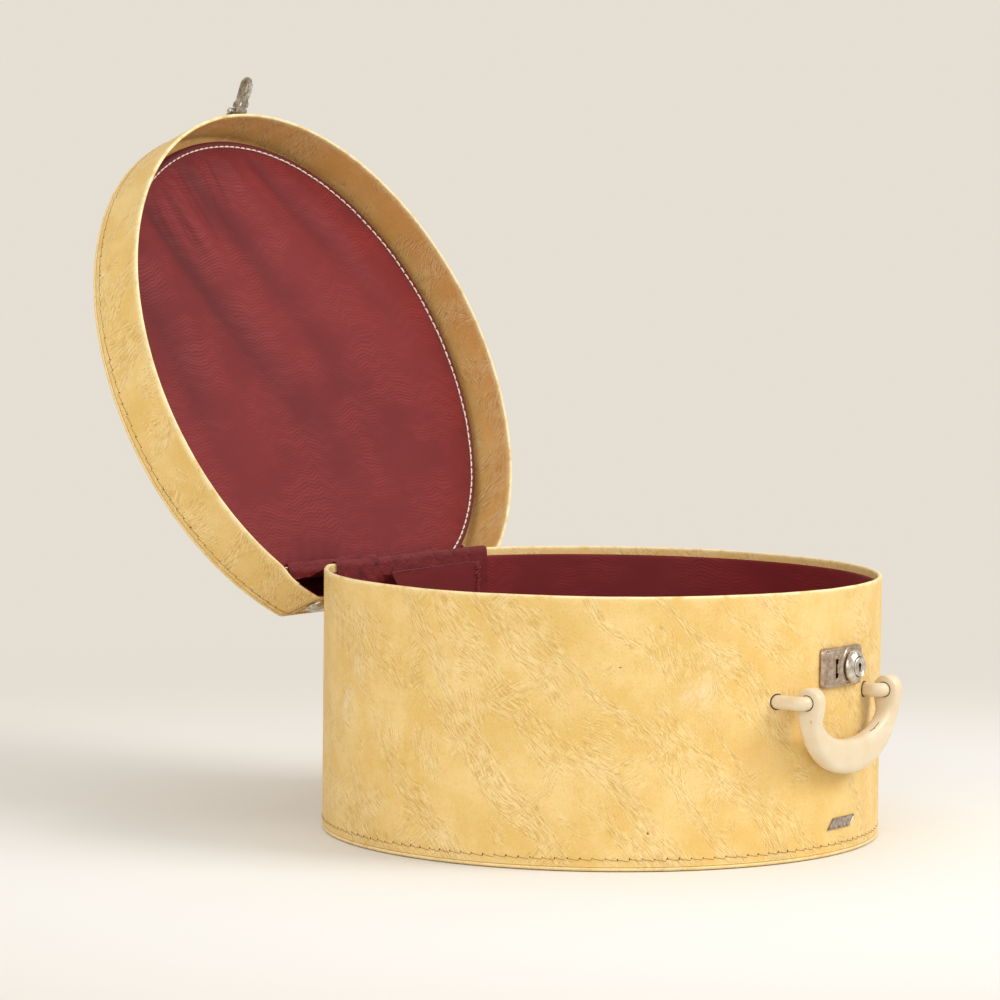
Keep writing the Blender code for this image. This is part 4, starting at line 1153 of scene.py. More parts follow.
def pocket_binding():
    """Binding up the panel's free end and along its top."""
    line = []
    for z in np.linspace(86, 174.8, 60):
        x = pocket_left(z)
        line.append((x + 0.3, pocket_front(x) + 0.6, z))
    for angle in np.linspace(0.2, math.pi / 2, 5):
        line.append((POCKET_X0 + 0.3 + 1.4 * (1 - math.cos(angle)),
                     pocket_front(POCKET_X0 + 1) + 0.6, 175.0 + 1.4 * math.sin(angle)))
    for x in np.linspace(POCKET_X0 + 3, POCKET_X1 - 0.8, 60):
        line.append((x, pocket_front(x) + 0.6, 176.45 + 0.12 * wobble(x, 0, 0, 0.12, 2.0)))
    build("pocket_panel_binding", tube(line, 0.72, 10), BORDER_CLOTH, "base")


def pocket_gathers():
    tufts = []
    y = pocket_front(POCKET_X1) + 0.2
    for i in range(16):
        x, z = POCKET_X1 - 2.0 + 3.2 * wobble(i, 0, 0, 1.7, 1.0), 150.0 + 24.0 * i / 15.0
        sway = 2.2 * wobble(i, 3, 0, 1.3, 2.0)
        line = (
            (x - 3.2 + sway, y - 0.2, z - 1.6), (x - 1.4, y - 0.9, z + sway * 0.4),
            (x + 0.6, y - 0.8, z + 0.9), (x + 3.4, y + 0.9, z + 1.2 + sway),
            (x + 5.0, y + 2.6, z + 2.0),
        )
        tufts.append(tube(line, [0.25, 0.75, 0.9, 0.6, 0.25], 8))
    build("pocket_gathers", joined(tufts), GATHERED_CLOTH, "base")


def pocket_side_fold():
    """Fold of cloth from the panel's free end back to the wall."""
    front = pocket_front(POCKET_X0) + 1.4

    def place(up, back):
        z = 86 + 88 * up
        x = pocket_left(z) + 1.0 + 7.0 * math.sin(math.pi * back) * (0.5 + 0.5 * up)
        x += 0.5 * wobble(0, back * 40, z, 0.05, 1.0)
        return x, front + (169.2 - front) * back, z, 14.0 * back, z

    sheet("pocket_side_fold", *plotted(24, 14, place), None, DARK_CLOTH, "base", "lining_dark")


# ---------------------------------------------------------------- strip on the lid's back


def back_strip():
    half_width, bottom, top = high("lid_back_strip")[0], 152.5, 184.0
    back = LID_FLAT + 0.3

    def place(up, across):
        side, rise = -1 + 2 * across, -1 + 2 * up
        end_x = 1 - max(0.0, abs(side) - 0.975) / 0.025
        end_z = 1 - max(0.0, abs(rise) - 0.85) / 0.15
        lift = 0.9 * clamp(end_x) ** 0.5 * clamp(end_z) ** 0.5
        x, z = side * half_width, bottom + (top - bottom) * (rise + 1) / 2
        return x, back - 0.15 + lift, z, x, z

    sheet("lid_back_strip_cover", *plotted(22, 120, place), None, STRIP_COVER, "lid",
          "leatherette", "lid_back_strip", opened)

    pitch = 3.4
    stitch = ((0.0, 0.6), (0.3, 0.95), (1.3, 1.05), (2.3, 0.95), (2.6, 0.6))    # along, out
    lines = []
    for z in (155.2, 181.4):
        for i in range(int((2 * half_width - 6) / pitch)):
            x = -half_width + 3 + i * pitch
            lines.append([(x + along, back + out, z) for along, out in stitch])
    for x in (-half_width + 2.4, half_width - 2.4):
        for i in range(int(26 / pitch)):
            z = 155.2 + i * pitch
            lines.append([(x, back + out, z + along) for along, out in stitch])
    threads = [tube(opened(line), 0.28, 6) for line in lines]
    build("back_strip_stitches", joined(threads), TAN_THREAD, "lid")


# ---------------------------------------------------------------- studs and rivets


def lid_studs():
    profile = (     # radius, height
        (10.2, -0.3), (10.6, 0.0), (10.62, 0.5), (10.3, 1.1), (9.5, 2.1), (8.4, 3.0),
        (7.2, 3.65), (6.8, 3.7), (6.5, 3.6), (6.2, 3.75), (5.0, 4.35), (3.4, 4.8), (1.6, 5.0),
        (0, 5.02),
    )
    for node in ("lid_stud_left", "lid_stud_right"):
        x = (low(node)[0] + high(node)[0]) / 2
        stud = lathe(profile, (x, LID_FLAT + 1.2, 163.0), (0, 1, 0), 64)
        build(node + "_dome", stud, BRIGHT, "lid", node, opened)


def rivet(node, centre, direction, radius, height, body, pose=None):
    profile = (
        (radius * 0.55, -1.4), (radius * 0.55, -0.1), (radius * 0.97, 0.0), (radius, 0.2),
        (radius * 0.95, height * 0.45), (radius * 0.78, height * 0.78),
        (radius * 0.45, height * 0.97), (0, height),
    )
    dome = lathe(profile, centre, (0, direction, 0), 32)
    build(node + "_head", dome, NICKEL, body, node, pose)


def hinge_rivets():
    for side, hinge_x in (("left", -55.0), ("right", 55.0)):
        for tag, offset in (("a", -9.0), ("b", 9.0)):
            x, end = hinge_x + offset, "_%s_%s" % (side, tag)
            rivet("hinge_base_rivet" + end, (x, BASE_FLAT + 1.7, 124.0), 1, 2.9, 1.75, "base")
            rivet("hinge_lid_rivet" + end, (x, LID_FLAT + 2.6, 173.0), 1, 2.9, 1.75, "lid",
                  opened)


# ---------------------------------------------------------------- lock

PLATE_X0, PLATE_Y, PLATE_Z0 = low("lock_plate")
PLATE_X1, _, PLATE_Z1 = high("lock_plate")
PLATE_CORNER = 3.3
STAPLE_SLOT_X = -11.0
KNOB_R = (high("lock_slide")[2] - low("lock_slide")[2]) / 2
KNOB_FOOT_Y = PLATE_Y - 0.4


def plate_face(x, z):
    """Depth of the plate's face: cushioned, with rolled edges and struck rims."""
    edge_x = min(x - PLATE_X0, PLATE_X1 - x)
    edge_z = min(z - PLATE_Z0, PLATE_Z1 - z)
    y = PLATE_Y + 1.5 * (max(0.0, abs(x) - 6.0) / 20.0) ** 2
    for edge, roll in ((edge_x, 2.1), (edge_z, 1.5)):
        if edge < roll:
            y += roll * (1 - math.sqrt(max(0.0, 1 - (1 - max(0.0, edge) / roll) ** 2))) * 1.25
    # Grooves inside the edges
    if edge_z > 2.2:
        y += 0.42 * bell(edge_x - 3.0, 0.55)
    if edge_x > 3.0:
        y += 0.30 * bell(edge_z - 2.4, 0.5)
    # Raised rim round the knob's left side, then round the staple's slot
    radius = math.hypot(x - KNOB[0], z - KNOB[2])
    left = clamp((KNOB[0] - 4.0 - x) / 5.0)
    y -= left * (0.75 * bell(radius - 14.4, 0.75) - 0.25 * bell(radius - 12.9, 0.8))
    slot = math.hypot(x - STAPLE_SLOT_X, max(0.0, abs(z - KNOB[2]) - 6.0))
    y -= 0.35 * bell(slot - 2.3, 0.5)
    return y + 0.05 * wobble(x, z, 0, 0.12, 3.0)


def rounded_corner(x, z):
    """Squeezes a rectangle's point into one with rounded corners."""
    mid_x, mid_z = (PLATE_X0 + PLATE_X1) / 2, (PLATE_Z0 + PLATE_Z1) / 2
    flat_x = (PLATE_X1 - PLATE_X0) / 2 - PLATE_CORNER
    flat_z = (PLATE_Z1 - PLATE_Z0) / 2 - PLATE_CORNER
    from_x, from_z = abs(x - mid_x), abs(z - mid_z)
    if from_x > flat_x and from_z > flat_z:
        part_x, part_z = (from_x - flat_x) / PLATE_CORNER, (from_z - flat_z) / PLATE_CORNER
        squeeze = max(part_x, part_z) / math.hypot(part_x, part_z)
        from_x = flat_x + PLATE_CORNER * part_x * squeeze
        from_z = flat_z + PLATE_CORNER * part_z * squeeze
    return mid_x + math.copysign(from_x, x - mid_x), mid_z + math.copysign(from_z, z - mid_z)


def in_plate_opening(x, z):
    """Inside the staple's waisted upright slot, or the slot for the knob's stem."""
    from_mid = abs(z - KNOB[2])
    half_width = 1.55 if from_mid > 3.1 else 1.05
    if abs(x - STAPLE_SLOT_X) < half_width and from_mid < 6.6:
        return True
    return math.hypot(max(0.0, abs(x - KNOB[0] - 2.5) - 2.5), z - KNOB[2]) < 5.35


def crowded(start, end, roll, roll_steps, inset, steps):
    """Values from start to end, closer together where the edges roll."""
    angles = np.linspace(0.15, math.pi / 2, roll_steps)
    back_angles = np.linspace(math.pi / 2, 0.15, roll_steps)
    return np.concatenate([
        [start], start + roll * (1 - np.cos(angles)),
        np.linspace(start + inset, end - inset, steps),
        end - roll * (1 - np.cos(back_angles)), [end],
    ])


def lock_plate():
    across = crowded(PLATE_X0, PLATE_X1, roll=2.2, roll_steps=8, inset=2.4, steps=130)
    upward = crowded(PLATE_Z0, PLATE_Z1, roll=1.6, roll_steps=7, inset=1.8, steps=78)
    rows, columns = len(upward), len(across)
    points = []
    for z in upward:
        for x in across:
            plate_x, plate_z = rounded_corner(x, z)
            points.append((plate_x, plate_face(x, z), plate_z))
    faces = []
    for i in range(rows - 1):
        for j in range(columns - 1):
            x, z = (across[j] + across[j + 1]) / 2, (upward[i] + upward[i + 1]) / 2
            if not in_plate_opening(x, z):
                here, above = i * columns + j, (i + 1) * columns + j
                faces.append([here, here + 1, above + 1, above])
    # Turned-back rim, down to the wall
    last = (rows - 1) * columns
    rim = list(range(columns)) + [i * columns + columns - 1 for i in range(1, rows)]
    rim += [last + j for j in range(columns - 2, -1, -1)]
    rim += [i * columns for i in range(rows - 2, 0, -1)]
    start = len(points)
    for corner in rim:
        x, _, z = points[corner]
        points.append((x, min(-math.sqrt(BASE_R ** 2 - x * x) - 0.30, -196.5), z))
    for i in range(len(rim)):
        j = (i + 1) % len(rim)
        faces.append([rim[i], rim[j], start + j, start + i])
    plate = build("lock_plate_pressing", (points, faces), PLATE_METAL, "base",
                  "lock_plate", angle=60)
    solidify = plate.modifiers.new("thickness", "SOLIDIFY")
    solidify.thickness, solidify.offset = 0.0007, -1.0


def lock_knob():
    profile = (     # radius, height
        (4.35, -3.0), (4.35, 2.95), (6.9, 2.95), (7.15, 3.1), (7.2, 4.5), (7.3, 4.85),
        (7.55, 5.08), (7.9, 5.1), (8.35, 4.92), (9.0, 4.45), (9.8, 3.75), (10.6, 2.95),
        (11.15, 2.2), (11.5, 1.5), (KNOB_R, 0.95), (KNOB_R - 0.05, 0.4), (11.2, 0.05),
        (10.4, 0.0), (5.0, 0.0), (5.0, -3.0),
    )
    points, faces = lathe(profile, (KNOB[0], KNOB_FOOT_Y, KNOB[2]), (0, -1, 0), 96, close=True)
    # A few dents on the dome, and a small notch at the flange's top left
    for point in points:
        x, z, height = point[0] - KNOB[0], point[2] - KNOB[2], KNOB_FOOT_Y - point[1]
        radius = math.hypot(x, z)
        if radius > 8.2 and height > 0.2:
            point[1] += 0.16 * max(0.0, wobble(x, z, 0, 0.42, 6.0))
            notch = 0.9 * bell(math.degrees(math.atan2(z, x)) - 112.0, 4.5)
            point[1] += notch * max(0.0, (radius - 9.4) / 2.2) * min(1.0, height)
    # Bars behind the plate: x0, x1, z0, z1
    bars = (
        (-8.5, 5.0, 124.6, 136.6), (14.9, 15.9, 124.6, 136.6),
        (-14.5, -8.0, KNOB[2] - 1.5, KNOB[2] + 1.5),
    )
    back = [block(x0, x1, PLATE_Y + 1.8, PLATE_Y + 3.0, z0, z1) for x0, x1, z0, z1 in bars]
    build("lock_knob", joined([(points, faces), *back]), BRIGHT, "lock_slide",
          "lock_slide", angle=40)


def key_cylinder():
    angles = [2 * math.pi * i / 72 for i in range(72)]
    # Keyhole: a round hole with a narrow slot below it
    hole_radius, slot_half = 1.75, 0.75
    keyhole = []
    for angle in angles:
        x, z = hole_radius * math.cos(angle), 1.1 + hole_radius * math.sin(angle)
        if math.sin(angle) < 0 and abs(x) < slot_half + 0.6:
            x, z = max(-slot_half, min(slot_half, x * 1.1)), -3.3
        keyhole.append((x, z))
    profile = (     # radius, height
        (3.9, -3.4), (3.9, 3.3), (6.75, 3.35), (6.85, 3.5), (6.85, 5.1), (6.72, 5.4),
        (6.4, 5.6), (5.9, 5.66), (5.5, 5.6), (5.3, 5.38), (5.05, 5.3), (4.8, 5.4), (4.5, 5.5),
        (4.1, 5.52),
    )
    rings = [[(radius * math.cos(a), radius * math.sin(a), height) for a in angles]
             for radius, height in profile]
    rings.append([(x * 1.12, z * 1.06, 5.5) for x, z in keyhole])
    rings += [[(x, z, height) for x, z in keyhole] for height in (5.3, 2.0)]
    points, faces = loft(rings, start_cap=False)
    placed = np.stack(
        [KNOB[0] + points[:, 0], KNOB_FOOT_Y - points[:, 2], KNOB[2] + points[:, 1]], 1)
    key = build("key_cylinder_face", (placed, faces), BRIGHT, "key_cylinder",
                "key_cylinder", angle=35)
    # The keyhole's walls and floor are dark: painted shade in the recess
    key.data.materials.append(HOLE_SHADE)
    for face in key.data.polygons:
        x, y, z = face.center * 1000
        if math.hypot(x - KNOB[0], z - KNOB[2]) < 4.2 and 0 < KNOB_FOOT_Y - y < 5.2:
            face.material_index = 1


# ---------------------------------------------------------------- hasp

HASP_X, HASP_Z = -9.5, PIN_SHUT[2]
TONGUE_R, TONGUE_ROUND = 6.4, 21.0    # half width, and how far below the pin the end starts
# Distance below the pin, half width of the tongue
TONGUE_WIDTHS = (
    (-1.0, 5.0), (1.2, 5.15), (3.0, 5.2), (3.2, 7.9), (4.0, 8.4), (6.5, 8.4), (9.0, 6.6),
    (12.0, 6.42), (TONGUE_ROUND, TONGUE_R),
)


def tongue_half_width(drop):
    if drop >= TONGUE_ROUND:
        return math.sqrt(max(0.0, TONGUE_R ** 2 - (drop - TONGUE_ROUND) ** 2))
    return float(np.interp(drop, *zip(*TONGUE_WIDTHS)))


def tongue_face(x, drop, half_width):
    """Front of the shut tongue: a rolled edge, a raised finger pad and a struck line."""
    edge = min(half_width - abs(x), TONGUE_ROUND + TONGUE_R - drop)
    y = -206.7
    if edge < 0.7:
        y += 0.7 * (1 - math.sqrt(max(0.0, 1 - (1 - max(0.0, edge) / 0.7) ** 2)))
    pad = math.hypot(x, max(0.0, abs(drop - 19.0) - 2.4))
    y -= 0.7 / (1 + math.exp((pad - 3.5) / 0.18)) - 0.28 * bell(pad - 1.6, 1.2)
    return y + 0.25 * bell(pad - 4.3, 0.35) + 0.30 * bell(drop - 9.4, 0.5)


def hasp_rivets():
    for side, offset in (("left", -5.0), ("right", 5.0)):
        rivet("hasp_rivet_" + side, (HASP_X + offset, -206.1, 163.0), -1, 2.6, 1.4, "lid",
              opened)


def hasp_tongue():
    drops = np.concatenate([
        np.linspace(-0.5, 2.9, 8), np.linspace(3.0, 3.3, 3), np.linspace(3.6, 20.8, 60),
        TONGUE_ROUND + TONGUE_R * np.sin(np.linspace(0.05, math.pi / 2 - 0.04, 26)),
    ])
    sides = np.sin(np.linspace(-math.pi / 2, math.pi / 2, 41))
    rows, columns = len(drops), len(sides)
    front, back = [], []
    for drop in drops:
        half = tongue_half_width(drop)
        for side in sides:
            x, z = HASP_X + side * half, HASP_Z - drop
            front.append((x, tongue_face(side * half, drop, half), z))
            back.append((x, -205.1, z))
    behind = rows * columns     # from a front point to the one behind it
    cells = [(i, j) for i in range(rows - 1) for j in range(columns - 1)]
    hole = set()
    for i, j in cells:
        x = (sides[j] + sides[j + 1]) / 2 * tongue_half_width(drops[i])
        if abs(x - 0.2) < 2.0 and 4.4 < (drops[i] + drops[i + 1]) / 2 < 7.6:
            hole.add((i, j))

    def wall(first, second):
        return [first, second, behind + second, behind + first]

    faces = []
    for i, j in cells:
        here, below = i * columns + j, (i + 1) * columns + j
        if (i, j) in hole:
            for first, second, neighbour in (
                (here, here + 1, (i - 1, j)), (below + 1, below, (i + 1, j)),
                (below, here, (i, j - 1)), (here + 1, below + 1, (i, j + 1)),
            ):
                if neighbour not in hole:
                    faces.append(wall(first, second))
            continue
        quad = [here, here + 1, below + 1, below]
        faces += [quad, [behind + corner for corner in quad[::-1]]]
    for i in range(rows - 1):
        for j in (0, columns - 1):
            faces.append(wall(i * columns + j, (i + 1) * columns + j))
    for i in (0, rows - 1):
        for j in range(columns - 1):
            faces.append(wall(i * columns + j, i * columns + j + 1))
    knuckle = lathe(
        ((1.25, 0.0), (2.2, 0.0), (2.3, 0.12), (2.3, 10.28), (2.2, 10.4), (1.25, 10.4)),
        (HASP_X - 5.2, PIN_SHUT[1], HASP_Z), (1, 0, 0), 40, close=True)
    build("hasp_tongue", joined([(front + back, faces), knuckle]), NICKEL, "hasp",
          "hasp", hasp_opened, angle=45)


def hasp_pin():
    profile = (     # radius, distance along
        (0.0, -0.45), (0.75, -0.5), (0.85, -0.95), (1.25, -1.05), (1.75, -0.9), (1.85, -0.5),
        (1.7, -0.35), (0.95, -0.3), (0.95, 18.3), (1.7, 18.35), (1.85, 18.55), (1.6, 18.9),
        (0, 18.95),
    )
    pin = lathe(profile, (HASP_X - 9.0, PIN_SHUT[1], HASP_Z), (1, 0, 0), 40)
    build("hasp_pin_turned", pin, BRIGHT, "lid", "hasp_pin", opened, angle=40)


# ---------------------------------------------------------------- handle

EYE_LEFT, EYE_RIGHT = -54.0, 49.0
EYE_WIDTH, EYE_R, EYE_HOLE = 11.5, 10.0, 5.25
GRIP_LOW, GRIP_TOP = 57.8, 104.0
GRIP_MID = (EYE_LEFT + EYE_RIGHT) / 2
GRIP_OUTER = (EYE_RIGHT - EYE_LEFT) / 2 + EYE_WIDTH / 2
GRIP_INNER = GRIP_OUTER - EYE_WIDTH


def grip_ring(inner, outer, half_depth, power, count=44):
    """A squared-off oval between an inner and an outer (x, z) point."""
    middle = (np.array(inner) + np.array(outer)) / 2
    half = (np.array(outer) - np.array(inner)) / 2
    points = []
    for i in range(count):
        cosine = math.cos(2 * math.pi * i / count)
        sine = math.sin(2 * math.pi * i / count)
        out = math.copysign(abs(cosine) ** (2 / power), cosine)
        depth = math.copysign(abs(sine) ** (2 / power), sine)
        points.append((middle[0] + half[0] * out + GRIP_MID, HANDLE[1] + half_depth * depth,
                       middle[1] + half[1] * out))
    return points


def eye_sections(side):
    """Sections down through one eye, side -1 at the left: inner, outer, half depth, power."""
    sections = []
    angles = np.radians(np.concatenate([[86, 80], np.linspace(74, -20, 18)]))
    for i, angle in enumerate(angles):
        z = HANDLE[2] + EYE_R * math.sin(angle)
        shrink = (0.72, 0.9)[i] if i < 2 else 1.0
        inset = EYE_WIDTH / 2 * (1 - shrink)
        sections.append(((side * (GRIP_INNER + inset), z), (side * (GRIP_OUTER - inset), z),
                         max(1.6, EYE_R * math.cos(angle)), 4.2 if i > 1 else 3.0))
    return sections


def grip_sections(turns=96):
    sections = []
    for i in range(turns + 1):
        angle = math.pi + math.pi * i / turns
        cosine, sine = math.cos(angle), math.sin(angle)
        swell = math.sin(math.pi * i / turns)
        ease = min(1.0, min(i, turns - i) / 8)
        inner = (GRIP_INNER * cosine, GRIP_TOP + (GRIP_TOP - GRIP_LOW - 24.0) * sine)
        outer = (GRIP_OUTER * cosine - 1.5 * math.sin(2 * angle),
                 GRIP_TOP + (GRIP_TOP - GRIP_LOW) * sine)
        half_depth = 9.0 - 2.1 * ease if ease < 1 else 6.9 - 0.5 * swell
        sections.append((inner, outer, half_depth, 4.2 - 1.0 * ease))
    return sections


def handle_grip():
    """The grip with its bored eyes. Gives its surface, in metres."""
    sections = eye_sections(-1) + grip_sections() + eye_sections(1)[::-1]
    rings = np.array([grip_ring(*section) for section in sections])
    # Soften the run from the eyes into the grip
    for _ in range(5):
        softer = rings.copy()
        softer[12:-12] = 0.5 * rings[12:-12] + 0.25 * (rings[11:-13] + rings[13:-11])
        rings = softer
    grip = build("handle_grip", loft(rings), IVORY, None)
    for i, x in enumerate((EYE_LEFT, EYE_RIGHT)):
        bore = lathe([(0, -12), (EYE_HOLE, -12), (EYE_HOLE, 12), (0, 12)],
                     (x, HANDLE[1], HANDLE[2]), (1, 0, 0), 48)
        cutter = build("handle_cutter_%d" % i, bore, IVORY, None)
        cut = grip.modifiers.new("eye%d" % i, "BOOLEAN")
        cut.operation, cut.solver, cut.object = "DIFFERENCE", "EXACT", cutter
        apply_modifier(grip, cut)
        bpy.data.objects.remove(cutter, do_unlink=True)
    grip.data.shade_smooth()
    grip.data.set_sharp_from_angle(angle=math.radians(50))
    surface = BVHTree.FromPolygons([point.co.copy() for point in grip.data.vertices],
                                   [tuple(face.vertices) for face in grip.data.polygons])
    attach(grip, "handle")
    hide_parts("handle")
    return surface


def handle_hairlines(surface):
    """Hairline cracks and a nick, laid on the front of the grip near its arms."""
    lines = (       # (x, z) points, then thickness
        (((31.3, 93.3), (29.0, 91.8), (27.0, 90.6), (23.6, 88.1)), 0.20),
        (((19.6, 88.3), (23.0, 87.1), (26.4, 86.4)), 0.22),
        (((-57.3, 100.3), (-54.7, 98.1)), 0.18),
    )
    cracks = []
    for line, thickness in lines:
        across, upward = zip(*line)
        laid = []
        for step in np.linspace(0, len(line) - 1, 16):
            x = np.interp(step, range(len(line)), across)
            z = np.interp(step, range(len(line)), upward)
            laid.append(tuple(surface.find_nearest(Vector((x, -212.5, z)) * 0.001)[0] * 1000.0))
        cracks.append(tube(laid, [0.06] + [thickness] * 14 + [0.06], 6))
    build("handle_hairlines", joined(cracks), CRACK, "handle")


def handle_eye_grime():
    # Dark rings at both faces of each eye, round the bore: painted shade in the gap between pivot and eye
    angles = [2 * math.pi * i / 40 for i in range(40)]
    rings = []
    for eye in (EYE_LEFT, EYE_RIGHT):
        for face in (-1, 1):
            x = eye + face * (EYE_WIDTH / 2 - 0.1)
            line = [(x, HANDLE[1] + EYE_HOLE * math.cos(a), HANDLE[2] + EYE_HOLE * math.sin(a))
                    for a in angles]
            rings.append(tube(line, 0.26, 8, closed=True))
    build("handle_eye_grime", joined(rings), HOLE_SHADE, "handle")


def handle_post(name, post_x, eye_x):
    """A bent pivot from inside the wall into an eye, with its washer, cap, and a dark ring of painted
    shade where it leaves the wall.
    """
    inner_r = BASE_R - WALL - 0.3 - 1.0
    inner_y = -math.sqrt(inner_r ** 2 - (abs(post_x) + 8.0) ** 2) + 1.2
    shoulder_y = -math.sqrt(BASE_R ** 2 - post_x ** 2) + 1.8
    bend, radius = 5.2, 4.9
    end = eye_x + EYE_WIDTH / 2
    pivot_y, pivot_z = HANDLE[1], HANDLE[2]
    stations = [    # place in plan, direction, radius
        ((post_x, inner_y + 2.6), (0, -1), 3.4), ((post_x, inner_y + 2.2), (0, -1), 3.6),
        ((post_x, shoulder_y), (0, -1), 3.6), ((post_x, shoulder_y - 0.1), (0, -1), radius - 0.15),
        ((post_x, shoulder_y - 0.5), (0, -1), radius),
    ]
    for i in range(15):
        angle = math.radians(90 * i / 14)
        cosine, sine = math.cos(angle), math.sin(angle)
        place = (post_x + bend - bend * cosine, pivot_y + bend - bend * sine)
        stations.append((place, (sine, -cosine), radius))
    stations += [((end + past, pivot_y), (1, 0), size) for past, size in (
        (-0.2, radius), (0.3, radius - 0.25), (0.4, 3.3), (2.8, 3.2), (3.0, 2.9))]
    rings = []
    for (x, y), (along_x, along_y), size in stations:
        side = np.array((-along_y, along_x, 0.0))
        rings.append([
            np.array((x, y, pivot_z)) + side * size * math.cos(2 * math.pi * k / 36)
            + np.array((0, 0, size * math.sin(2 * math.pi * k / 36))) for k in range(36)
        ])
    build("handle_pivot_" + name, loft(rings), IVORY, "base", "handle_post_" + name,
          angle=40)
    washer = lathe([(3.8, 0), (7.8, 0), (8.0, 0.2), (8.0, 0.7), (7.7, 1.0), (3.95, 1.0)],
                   (post_x, inner_y, pivot_z), (0, 1, 0), 48, close=True)
    build("handle_backing_" + name, washer, STEEL, "base", "handle_washer_" + name,
          angle=40)
    cap_profile = ((3.4, 0.0), (6.5, 0.0), (6.85, 0.3), (6.8, 0.8), (6.3, 1.4), (5.0, 1.65),
                   (3.4, 1.7))
    cap = lathe(cap_profile, (end + 0.9, pivot_y, pivot_z), (1, 0, 0), 48, close=True)
    build("handle_stop_" + name, cap, IVORY, "base", "handle_cap_" + name, angle=50)
    # Dark ring on the wall round the pivot: painted shade in its hole
    ring = []
    for i in range(48):
        angle = 2 * math.pi * i / 48
        x, z = post_x + 5.25 * math.cos(angle), pivot_z + 5.25 * math.sin(angle)
        ring.append((x, -math.sqrt(BASE_R ** 2 - x * x) - 0.05, z))
    build("handle_hole_" + name, tube(ring, 0.42, 8, closed=True), HOLE_SHADE, "base")


# ---------------------------------------------------------------- plain plate low on the front


def name_plate():
    start, end = math.radians(-90 - 4.3), math.radians(-90 + 6.3)

    def place(up, across):
        # The outline leans: its top edge is set over to the right
        angle = start + (end - start) * (0.10 + 0.80 * across + 0.10 * (up * 2 - 1))
        edge = min(min(across, 1 - across) * 37.0, min(up, 1 - up) * 7.8)
        lift = -0.25
        if edge > 0:
            lift = 0.45 * clamp(edge / 0.35) - 0.28 * clamp((edge - 0.75) / 0.4)
        radius = 200.55 + lift + 0.2
        return radius * math.cos(angle), radius * math.sin(angle), 18.1 + 7.8 * up

    grid, _ = plotted(18, 60, place)
    sheet("name_plate_blank", grid, None, None, NICKEL, "base", "metal", "name_plate", angle=35)


# ---------------------------------------------------------------- CAD pieces that stay


def finish_cad_pieces():
    cover = moire("moire_cover", dark=(0.085, 0.010, 0.013), light=(0.185, 0.028, 0.034),
                  coords="Object")
    finishes = {
        "lock_case": SHADOWED, "lock_spring": STEEL, "lock_cover": cover, "hasp_leaf": NICKEL,
        "hasp_staple": BRIGHT, "hinge_base_leaf_left": NICKEL, "hinge_base_leaf_right": NICKEL,
        "hinge_lid_leaf_left": NICKEL, "hinge_lid_leaf_right": NICKEL,
        "hinge_pin_left": STEEL, "hinge_pin_right": STEEL,
    }
    for name, material in finishes.items():
        obj = NODES[name]
        if len(obj.material_slots) == 0:
            obj.data.materials.append(material)
        for slot in obj.material_slots:
            slot.material = material
        if name != "lock_cover":
            bevel = obj.modifiers.new("edge", "BEVEL")
            bevel.width, bevel.segments = 0.00018, 2
            bevel.limit_method, bevel.angle_limit = "ANGLE", math.radians(35)


# ---------------------------------------------------------------- floor, light and camera, in metres

BACKDROP = (0.790, 0.735, 0.655, 1.0)


def floor():
    """A pale floor that fades into the backdrop's colour away from the case."""
    mat = new_material("floor_pale")
    at = mat.coords()
    far = mat.ramp(mat.length(at), between=(0.42, 1.25))
    weave = mat.noise(at, stretch=(900.0, 300.0, 1.0))
    colour = mat.mix(far, (0.800, 0.795, 0.775), (0.74, 0.69, 0.61))
    colour = mat.tint(colour, (0.6, 0.56, 0.5), weave, amount=0.05)
    mat.set(colour=colour, rough=0.9, spec=0.1, normal=mat.bump(weave, strength=0.1, depth=0.2))
    glow = mat.node("Emission", {"Color": BACKDROP})[0]
    lit = mat.tree.nodes["Principled BSDF"].outputs[0]
    surface = mat.node("MixShader", {0: far, 1: lit, 2: glow})[0]
    mat.put(mat.tree.nodes["Material Output"].inputs["Surface"], surface)
    bm = bmesh.new()
    bmesh.ops.create_circle(bm, cap_ends=True, radius=60.0, segments=96)
    mesh = bpy.data.meshes.new("floor")
    bm.to_mesh(mesh)
    bm.free()
    obj = bpy.data.objects.new("floor", mesh)
    bpy.context.scene.collection.objects.link(obj)
    mesh.materials.append(mat.owner)
    obj.location.z = -0.0006


def area_light(name, energy, size, at, aim, colour):
    light = bpy.data.lights.new(name, "AREA")
    light.energy, light.shape, light.color = energy, "RECTANGLE", colour
    light.size, light.size_y = size
    obj = bpy.data.objects.new(name, light)
    bpy.context.scene.collection.objects.link(obj)
    obj.location = at
    obj.rotation_mode = "QUATERNION"
    obj.rotation_quaternion = (Vector(aim) - Vector(at)).to_track_quat("-Z", "Y")


def studio():
    """Warm surroundings that light the case, seen by the camera as a plain backdrop."""
    world = Nodes(bpy.data.worlds.new("studio"))
    bpy.context.scene.world = world.owner
    background = world.tree.nodes["Background"]
    world.put(background.inputs["Color"], (1.0, 0.965, 0.92, 1.0))
    world.put(background.inputs["Strength"], 0.70)
    seen = world.node("Background", {"Color": BACKDROP, "Strength": 1.0})[0]
    by_camera = world.node("LightPath")["Is Camera Ray"]
    surface = world.node("MixShader", {0: by_camera, 1: background.outputs[0], 2: seen})[0]
    world.put(world.tree.nodes["World Output"].inputs["Surface"], surface)


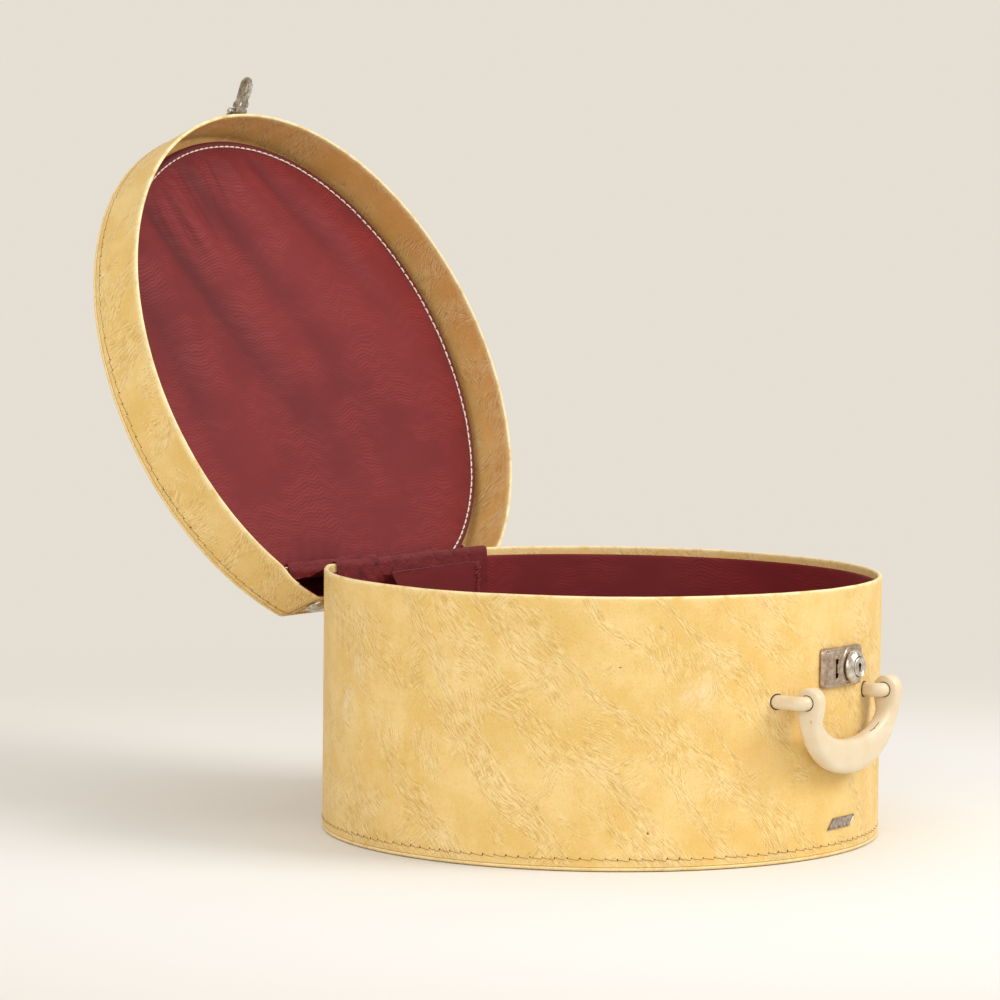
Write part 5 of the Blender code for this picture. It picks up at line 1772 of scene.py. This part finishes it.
def camera():
    forward = Vector((0.81017573, 0.58152809, -0.07375888)).normalized()
    level_side = Vector((forward.y, -forward.x, 0.0)).normalized()
    level_up = level_side.cross(forward)
    roll = 0.0104
    side = level_side * math.cos(roll) + level_up * math.sin(roll)
    up = level_up * math.cos(roll) - level_side * math.sin(roll)
    data = bpy.data.cameras.new("camera")
    data.lens, data.sensor_width = 146.16, 36.0
    data.clip_start, data.clip_end = 0.05, 100.0
    obj = bpy.data.objects.new("camera", data)
    bpy.context.scene.collection.objects.link(obj)
    obj.matrix_world = Matrix((
        (side.x, up.x, -forward.x, -2.40383),
        (side.y, up.y, -forward.y, -1.63399),
        (side.z, up.z, -forward.z, 0.44995),
        (0, 0, 0, 1),
    ))
    bpy.context.scene.camera = obj
    bpy.context.scene.view_settings.view_transform = "Standard"
    bpy.context.scene.view_settings.look = "None"


# ---------------------------------------------------------------- building it all

base_wall()
base_bottom()
stitches("base", BASE_PLAN, height=8.0, drop=-1.1)
base_lining()
lid_band()
lid_hinge_lining()
lid_top()
stitches("lid", LID_PLAN, height=183.6, drop=1.1, pose=opened)
lid_border()
lid_panel()
lid_seam()
hinge_gusset()
pocket_panel()
pocket_binding()
pocket_gathers()
pocket_side_fold()
back_strip()
lid_studs()
hinge_rivets()
lock_plate()
lock_knob()
key_cylinder()
hasp_rivets()
hasp_tongue()
hasp_pin()
handle_hairlines(handle_grip())
handle_eye_grime()
handle_post("left", -65.4, EYE_LEFT)
handle_post("right", 37.7, EYE_RIGHT)
name_plate()
finish_cad_pieces()
floor()
area_light("key", energy=42.0, size=(1.3, 1.3), at=(0.75, -2.0, 1.75), aim=(0.0, 0.0, 0.2),
           colour=(1.0, 0.975, 0.94))
area_light("fill", energy=29.0, size=(2.2, 1.8), at=(-2.6, -0.7, 1.2), aim=(0.0, 0.0, 0.25),
           colour=(1.0, 0.99, 0.97))
area_light("top", energy=7.5, size=(2.0, 2.0), at=(0.2, 0.5, 2.4), aim=(0.0, 0.1, 0.1),
           colour=(1.0, 0.98, 0.96))
studio()
camera()
